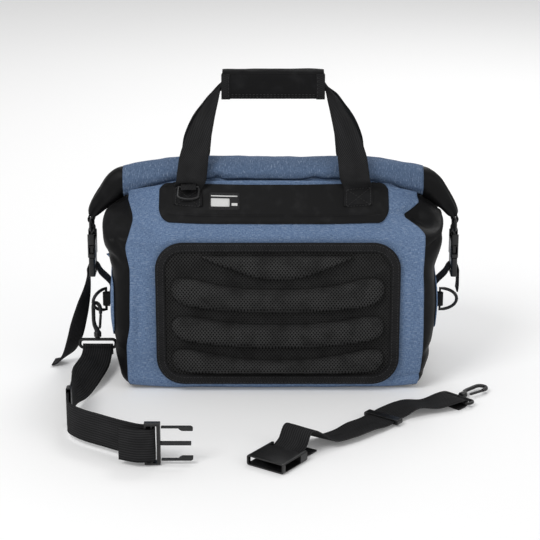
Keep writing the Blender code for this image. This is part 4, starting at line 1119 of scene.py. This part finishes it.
# The roll takes the darkened blue: painted shade.
roll = add_piece("rolled_mouth", sheet_shape(roll_place, 56, 150, (0.13, 0.39)), shaded_roll_cloth,
                 "roll_top", ["roll_sleeve"])
add_wall(roll, 0.0012, 0.0)
print("roll made")

# %% Black ends of the roll
END_ROWS = 60
END_STATIONS = [               # x, z, half height, half depth, lean in degrees
    (0.1890, 0.2560, 0.0188, 0.0170, 0.0), (0.1990, 0.2535, 0.0186, 0.0166, 14.0),
    (0.2085, 0.2455, 0.0168, 0.0156, 36.0), (0.2205, 0.2325, 0.0128, 0.0148, 50.0),
    (0.2305, 0.2205, 0.0096, 0.0138, 56.0),
    (0.2360, 0.2120, 0.0070, 0.0128, 66.0), (0.2375, 0.2085, 0.0040, 0.0118, 72.0)]


def add_roll_end(name, side, stands_for):
    samples = smooth_path(END_STATIONS, END_ROWS + 1)

    def place(s, t):
        x, z, half, depth, lean = samples[round(t * END_ROWS)]
        lean = math.radians(lean)
        angle = 2 * math.pi * s
        out = math.sin(angle)
        flat = math.cos(angle)
        tuck = 1.0 - 0.30 * t * abs(flat) * math.exp(-(out * 2.4) ** 2)
        crease = 0.0012 * noise.noise(Vector((x * 90 * side, flat * 2.2, out * 2.2 + 5)))
        crease += 0.0009 * math.sin(9 * flat + 4 * t + side) * t * (1 - t) * 2
        high = out * half * (1.0 - 0.18 * flat * t) + crease
        return Vector((side * (x + high * math.sin(lean)), depth * flat * tuck, z + high * math.cos(lean)))
    shape = sheet_shape(place, 44, END_ROWS, (0.10, 0.07), closed=True)
    close_ends(shape)
    add_piece(name, shape, black_film, "roll_top", stands_for)


add_roll_end("left_folded_end", -1, ["left_roll_end"])
add_roll_end("right_folded_end", 1, ["right_roll_end"])
print("ends made")

# %% [markdown]
# ## Webbing ribbons
# A ribbon follows stations: a point, the direction of its width, and its width.
# Each handle is sewn flat on its feet, stands up, leans in and folds narrow
# under the grip.

# %% Ribbons
WEBBING = 0.0018
HANDLE_WIDTH = 0.038
FOOT_LIFT = PATCH_TOP + 0.0016


def ribbon_shape(stations, count, width=None, across=6, curl=0.0):
    """Webbing through stations of (x, y, z, side x, side y, side z[, width])."""
    samples = smooth_path(stations, count)
    length = sum((Vector(b[:3]) - Vector(a[:3])).length for a, b in zip(samples, samples[1:]))

    def place(s, t):
        k = round(t * (count - 1))
        value = samples[k]
        side = Vector(value[3:6]).normalized()
        ahead = Vector(samples[min(k + 1, count - 1)][:3]) - Vector(samples[max(k - 1, 0)][:3])
        out = ahead.cross(side).normalized()
        spread = width or value[6]
        point = Vector(value[:3]) + side * (s - 0.5) * spread
        ripple = 0.0005 * noise.noise(point * 45.0)
        return point + out * (curl * math.cos(2 * math.pi * (s - 0.5)) + ripple)
    wide = width or stations[0][6]
    return sheet_shape(place, across, count - 1, (wide, length))


# %% Handles
HANDLE_X = 0.1075
FOOT_Z = (0.2385, 0.2480, 0.2570)
LEG = [                        # across, towards the face, up, side vector (across, up), width
    (0.1040, 0.0655, 0.2720, 1.0, -0.06, 0.0385), (0.1022, 0.0610, 0.2860, 1.0, -0.10, 0.0385),
    (0.0990, 0.0510, 0.3080, 0.98, -0.20, 0.038), (0.0905, 0.0340, 0.3380, 0.93, -0.36, 0.034),
    (0.0810, 0.0195, 0.3600, 0.86, -0.50, 0.026), (0.0725, 0.0095, 0.3760, 0.75, -0.66, 0.018),
    (0.0600, 0.0050, 0.3840, 0.30, -0.95, 0.017), (0.0300, 0.0040, 0.3845, 0.0, -1.0, 0.022)]
for face, name, node in ((-1, "wearer_handle", "back_handle"), (1, "outer_handle", "front_handle")):
    half = []
    for z in FOOT_Z:
        inner_edge = skin(HANDLE_X - HANDLE_WIDTH / 2, z, face, FOOT_LIFT)
        outer_edge = skin(HANDLE_X + HANDLE_WIDTH / 2, z, face, FOOT_LIFT)
        half.append((*((inner_edge + outer_edge) / 2), *(outer_edge - inner_edge).normalized(), HANDLE_WIDTH))
    for across, out, up, side_a, side_u, width in LEG:
        half.append((across, face * out, up, side_a, 0.0, side_u, width))
    left = [(-x, y, z, a, -b, -c, w) for x, y, z, a, b, c, w in half]
    handle = add_piece(name, ribbon_shape(left + half[::-1], 181, across=10, curl=0.0006), handle_band)
    add_wall(handle, WEBBING)
    settle(handle)
    handle.data.shade_smooth()
    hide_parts(node)
    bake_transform(handle)
print("handles made")

# %% Box stitching on the feet
BOX_HALF = 0.0150
BOX_Z = (0.2375, 0.2555)
for face, name in ((-1, "wearer_foot_stitches"), (1, "outer_foot_stitches")):
    rows = []
    for side in (-1, 1):
        def spot(across, up):
            centre = side * HANDLE_X
            inner = skin(centre - HANDLE_WIDTH / 2, up, face, FOOT_LIFT + WEBBING / 2)
            outer = skin(centre + HANDLE_WIDTH / 2, up, face, FOOT_LIFT + WEBBING / 2)
            return inner.lerp(outer, 0.5 + across / HANDLE_WIDTH) + Vector((0, face * 0.0007, 0.0006))
        corners = [(-BOX_HALF, BOX_Z[0]), (BOX_HALF, BOX_Z[0]), (BOX_HALF, BOX_Z[1]), (-BOX_HALF, BOX_Z[1])]
        lines = [(corners[k], corners[(k + 1) % 4]) for k in range(4)]
        lines += [(corners[0], corners[2]), (corners[1], corners[3])]
        for start, end in lines:
            points = [spot(across, up) for across, up in straight(start, end, 5)]
            rows.append((points, Vector((0, face * 0.8, 0.6))))
    add_stitches(name, rows, "bag", step=0.0036)

# %% [markdown]
# ## The grip
# A padded wrap holds both handles together.  Its inner layer is a rounded tube;
# the flap folds over the front and closes with a hook tape on a loop tape.  The
# flap's short ends are bound, and its lower hem is sewn.

# %% Wrap and flap
GRIP_LENGTH = 0.130
GRIP_Z = 0.3845
GRIP_HALF_HEIGHT = 0.0182
GRIP_HALF_DEPTH = 0.0137


def grip_place(s, t):
    x = (2 * t - 1) * GRIP_LENGTH / 2
    end = 1.0 - 0.05 * abs(2 * t - 1) ** 8
    up, out = squarish(2 * math.pi * s, 0.75, 0.65)
    pucker = 0.0007 * noise.noise(Vector((x * 45, up * 1.4, out * 1.4)))
    sag = -0.0012 * (1 - (2 * t - 1) ** 2)
    return Vector((x, out * (GRIP_HALF_DEPTH * end + pucker),
                   GRIP_Z + up * (GRIP_HALF_HEIGHT * end + pucker) + sag * 0.5))


grip = add_piece("grip_wrap", sheet_shape(grip_place, 48, 80, (0.09, GRIP_LENGTH), closed=True), grip_cloth,
                 "grip", ["grip_cover"])
add_wall(grip, 0.0022, -1.0)

FLAP_FACE = -0.0186
FLAP_LOW = 0.3672
FLAP_HIGH = 0.4002
FLAP_HALF = 0.0655
FLAP_HEIGHT = 0.033


def flap_place(s, t):
    x = (2 * s - 1) * FLAP_HALF
    z = FLAP_LOW + (FLAP_HIGH - FLAP_LOW) * t
    roll_back = 0.0064 * max((t - 0.86) / 0.14, 0.0) ** 2
    puff = 0.0007 * math.sin(math.pi * t) ** 0.6
    pucker = 0.00035 * noise.noise(Vector((x * 70, 3.0, z * 90)))
    return Vector((x, FLAP_FACE - puff - pucker + min(roll_back, 0.0022), z))


flap_shape = sheet_shape(flap_place, 70, 26, (2 * FLAP_HALF, FLAP_HEIGHT), towards=WEARER_WAY)
flap = add_piece("grip_front_flap", flap_shape, grip_cloth, "flap", ["grip_flap"])
add_wall(flap, 0.0020, -1.0)
add_rounding(flap, 0.0006)


def end_binding(name, side):
    """A folded tape over one short end of the flap."""
    def place(s, t):
        out, across = squarish(2 * math.pi * s, 0.6, 0.5)
        x = side * (FLAP_HALF - 0.0050 + across * 0.0056)
        z = FLAP_LOW - 0.0003 + (FLAP_HIGH - FLAP_LOW - 0.001) * t
        return Vector((x, FLAP_FACE + 0.0002 - out * 0.0019, z))
    shape = sheet_shape(place, 20, 16, (0.024, FLAP_HEIGHT), closed=True)
    close_ends(shape)
    add_piece(name, shape, binding_band, "flap")


end_binding("left_flap_binding", -1)
end_binding("right_flap_binding", 1)
hem = FLAP_FACE - 0.0011
flap_rows = [([Vector((x / 1000, hem, FLAP_LOW + rise)) for x in range(-54, 55, 4)], WEARER_WAY)
             for rise in (0.0030, 0.0058)]
for side in (-1, 1):
    x = side * (FLAP_HALF - 0.0088)
    points = [Vector((x, FLAP_FACE - 0.0019, FLAP_LOW + 0.002 + k * 0.004)) for k in range(8)]
    flap_rows.append((points, WEARER_WAY))
add_stitches("flap_stitches", flap_rows, "flap")
print("grip made")

# %% [markdown]
# ## Side straps
# Each strap leaves the gusset, passes the plug's slot and comes back.  The left
# one is long: its tail hangs outwards to the floor.

# %% Straps
STRAP_WIDTH = 0.025
BUCKLE_X = 0.2385
PLUG_FOOT = 0.1285
BAR_Z = PLUG_FOOT + 0.0120
STRAP_LIFT = 0.0049
TAIL_START = 12                # the station where the left tail begins
TAIL_TWIST = (0.25, 0.62, 0.86, 0.86, 0.62, 0.28, 0.08)   # turn of the tail, in radians
for side, word in ((-1, "left"), (1, "right")):
    path = [(table_value(SIDE_TABLE, z) + STRAP_LIFT, z) for z in (0.050, 0.060, 0.075, 0.090, 0.105, 0.117)]
    path += [(BUCKLE_X - 0.0105, BAR_Z - 0.010), (BUCKLE_X - 0.0066, BAR_Z - 0.003),
             (BUCKLE_X - 0.0035, BAR_Z),
             (BUCKLE_X + 0.0035, BAR_Z), (BUCKLE_X + 0.0062, BAR_Z - 0.003), (BUCKLE_X + 0.0066, PLUG_FOOT)]
    if side < 0:
        path += [(0.2475, 0.110), (0.2535, 0.085), (0.2600, 0.060), (0.2660, 0.038), (0.2740, 0.018),
                 (0.2850, 0.0062), (0.2960, 0.0022)]
    else:
        path += [(0.2450, 0.115), (0.2440, 0.106)]
    stations = []
    for k, (a, b) in enumerate(path):
        twist = TAIL_TWIST[k - TAIL_START] if side < 0 and k >= TAIL_START else 0.0
        stations.append((side * a, 0.0, b, math.sin(twist), math.cos(twist), 0.0))
    ribbon = ribbon_shape(stations, 90, STRAP_WIDTH)
    strap = add_piece(word + "_tension_strap", ribbon, strap_band)
    add_wall(strap, WEBBING)
    settle(strap)
    strap.data.shade_smooth()
    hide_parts(word + "_side_strap")
    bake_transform(strap)
    root = table_value(SIDE_TABLE, 0.056) + STRAP_LIFT + WEBBING / 2 + 0.0002
    tack = [([Vector((side * root, y / 1000, z)) for y in range(-9, 10, 3)], Vector((side, 0, 0)))
            for z in (0.0530, 0.0555, 0.0580)]
    add_stitches(word + "_strap_tack", tack, "bag", step=0.0030)
print("straps made")

# %% [markdown]
# ## The waist belt
# The belt comes in two halves.  The left half hangs by its snap hook on the left
# ring, runs forward on the floor and stands on edge to its plug.  The right half
# lies unclipped in front, wavy, between its socket and its own hook.

# %% Left half
BELT_WIDTH = 0.040
WIRE = 0.0022
BELT_Z = 0.0265
left_low, left_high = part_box("left_swivel_loop")
LOOP_SPOT = Vector(((left_low.x + left_high.x) / 2, (left_low.y + left_high.y) / 2, left_low.z + WIRE))
WRAP = WIRE + 0.0007 + WEBBING / 2
bar_x, bar_y, bar_z = LOOP_SPOT
left_stations = [              # each with the direction of the band's width
    (bar_x, bar_y + WRAP, bar_z - 0.0110, 1, 0, 0), (bar_x, bar_y + WRAP, bar_z - 0.0010, 1, 0, 0),
    (bar_x, bar_y + 0.8 * WRAP, bar_z + 0.8 * WRAP, 1, 0, 0), (bar_x, bar_y, bar_z + 1.15 * WRAP, 1, 0, 0),
    (bar_x, bar_y - 0.8 * WRAP, bar_z + 0.8 * WRAP, 1, 0, 0),
    (bar_x, bar_y - WRAP, bar_z - 0.0010, 1, 0, 0), (bar_x - 0.001, bar_y - 0.0110, 0.0205, 1, 0, -0.05),
    (-0.2360, -0.0500, 0.0200, 1, 0, -0.35), (-0.2410, -0.0900, 0.0205, 0.80, 0, -0.60),
    (-0.2465, -0.1300, 0.0208, 0.45, 0, -0.89), (-0.2495, -0.1600, BELT_Z, 0.12, 0, -1),
    (-0.2500, -0.1850, BELT_Z, 0, 0, -1), (-0.2500, -0.2100, BELT_Z, 0, 0, -1),
    (-0.2500, -0.2350, BELT_Z, 0, 0, -1), (-0.2460, -0.2560, BELT_Z, 0, 0, -1),
    (-0.2290, -0.2760, BELT_Z, 0, 0, -1), (-0.2010, -0.2960, BELT_Z, 0, 0, -1),
    (-0.1730, -0.3150, BELT_Z, 0, 0, -1), (-0.1560, -0.3235, BELT_Z, 0, 0, -1),
    (-0.1450, -0.3240, BELT_Z, 0, 0, -1), (-0.1395, -0.3258, BELT_Z, 0, 0, -1),
    (-0.1380, -0.3295, BELT_Z, 0, 0, -1), (-0.1380, -0.3365, BELT_Z, 0, 0, -1),
    (-0.1395, -0.3402, BELT_Z, 0, 0, -1), (-0.1450, -0.3420, BELT_Z, 0, 0, -1),
    (-0.1600, -0.3420, BELT_Z, 0, 0, -1), (-0.1800, -0.3330, BELT_Z, 0, 0, -1)]
left_belt = add_piece("left_belt_band", ribbon_shape(left_stations, 260, BELT_WIDTH, 12), belt_band,
                      "left_belt", ["left_belt_webbing"])
add_wall(left_belt, WEBBING)
print("left belt made")

# %% Right half
SOCKET_PLACE = Vector((-0.0100, -0.3500, 0.00675))
socket_way = Vector((math.cos(math.radians(55)), math.sin(math.radians(55)), 0.0))
socket_across = Vector((socket_way.y, -socket_way.x, 0.0))
bar = SOCKET_PLACE + socket_way * 0.0485
low = Vector((0.0, 0.0, -0.0040))
loop_way = Vector((0.70, 0.714, 0.0)).normalized()
loop_across = Vector((loop_way.y, -loop_way.x, 0.0))
LOOP_Z = 0.0060
loop_bar = Vector((0.2290, -0.1440, LOOP_Z))
slide_way = Vector((0.62, 0.785, 0.0)).normalized()
slide_across = Vector((slide_way.y, -slide_way.x, 0.0))
slide_spot = Vector((0.1360, -0.2040, 0.0060))


def station(point, side, height=None):
    """A ribbon station at a point, or at another height above the floor."""
    return (point.x, point.y, point.z if height is None else height, side.x, side.y, side.z)


right_stations = [
    station(bar + socket_way * 0.030 + low, socket_across, 0.0014),
    station(bar + socket_way * 0.012 + low, socket_across, 0.0018), station(bar + low, socket_across),
    station(bar - socket_way * 0.0038 + low * 0.3, socket_across),
    station(bar - socket_way * 0.0038 - low * 0.3, socket_across),
    station(bar - low, socket_across), station(bar + socket_way * 0.009, socket_across, 0.0155),
    station(bar + socket_way * 0.022, socket_across, 0.0290),
    (0.0450, -0.2820, 0.0200, 0.80, -0.60, 0.0), (0.0620, -0.2730, 0.0072, 0.72, -0.69, 0.10),
    (0.0860, -0.2560, 0.0060, 0.72, -0.69, 0.12), (0.1060, -0.2370, 0.0075, 0.76, -0.65, 0.05),
    station(slide_spot - slide_way * 0.022, slide_across), station(slide_spot, slide_across),
    station(slide_spot + slide_way * 0.022, slide_across),
    (0.1720, -0.1740, 0.0110, 0.50, -0.86, 0.08), (0.1980, -0.1620, 0.0070, 0.55, -0.83, 0.05),
    station(loop_bar - loop_way * 0.012, loop_across, LOOP_Z + 0.0050),
    station(loop_bar, loop_across, LOOP_Z + WRAP),
    station(loop_bar + loop_way * WRAP, loop_across),
    station(loop_bar, loop_across, LOOP_Z - WRAP), station(loop_bar - loop_way * 0.014, loop_across, 0.0014)]
right_belt = add_piece("right_belt_band", ribbon_shape(right_stations, 240, BELT_WIDTH, 12), belt_band,
                       "right_belt", ["right_belt_webbing"])
add_wall(right_belt, WEBBING)
print("right belt made")

# %% [markdown]
# ## Moulded plastic and small webbing pieces
# Buckles, rings, hooks and sliders already have their true shapes in the packed
# model, but its edges are knife sharp.  Real mouldings have small radii that
# catch the light.  A copy of each node is merged, its flat triangles joined, and
# a Bevel modifier rounds the edges.  The remaining nodes keep their meshes and
# only take a finish.

# %% Rounded mouldings
body_names = {node: name for name, nodes in frame["record"]["behaviour"]["bodies"].items() for node in nodes}
EDGE_ANGLE = 32.0              # degrees; a flatter edge is left as it is


def moulded(node, width, segments=3):
    """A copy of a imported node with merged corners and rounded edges."""
    shape = bmesh.new()
    shape.from_mesh(frame["nodes"][node].data)
    bmesh.ops.remove_doubles(shape, verts=shape.verts, dist=1e-6)
    bmesh.ops.dissolve_limit(shape, angle_limit=math.radians(1.0), verts=shape.verts, edges=shape.edges)
    piece = add_piece("shaped_" + node, shape, black_plastic, body_names[node], [node])
    piece.data.set_sharp_from_angle(angle=math.radians(EDGE_ANGLE))
    add_rounding(piece, width, segments, EDGE_ANGLE)


BUCKLE_NODES = ["left_buckle_socket", "right_buckle_socket", "left_buckle_plug", "right_buckle_plug",
                "belt_socket", "belt_plug", "left_slider", "right_slider"]
PRONG_NODES = ["left_near_prong", "left_far_prong", "right_near_prong", "right_far_prong", "lower_belt_prong",
               "upper_belt_prong"]
for node in BUCKLE_NODES:
    moulded(node, 0.0007)
for node in PRONG_NODES:
    moulded(node, 0.0005, segments=2)
print("mouldings:", len(BUCKLE_NODES) + len(PRONG_NODES))

# %% Finishes for the nodes that stay
KEPT = {
    black_plastic: ["left_side_ring", "right_side_ring", "lash_ring", "left_swivel_loop", "right_swivel_loop",
                    "left_hook", "right_hook", "left_gate", "right_gate", "left_roll_ring", "right_roll_ring",
                    "mouth_stiffener"],
    tab_band: ["left_ring_tab", "right_ring_tab", "lash_tab", "left_roll_tab", "right_roll_tab",
               "left_buckle_loop", "right_buckle_loop"],
    loop_pile: ["loop_tape"],
    hook_pile: ["hook_tape"]}
for finish, names in KEPT.items():
    for name in names:
        node = frame["nodes"][name]
        node.data.materials.clear()
        node.data.materials.append(finish)
shown = [name for name, node in frame["nodes"].items() if not node.hide_render]
print("nodes still shown:", sorted(shown))
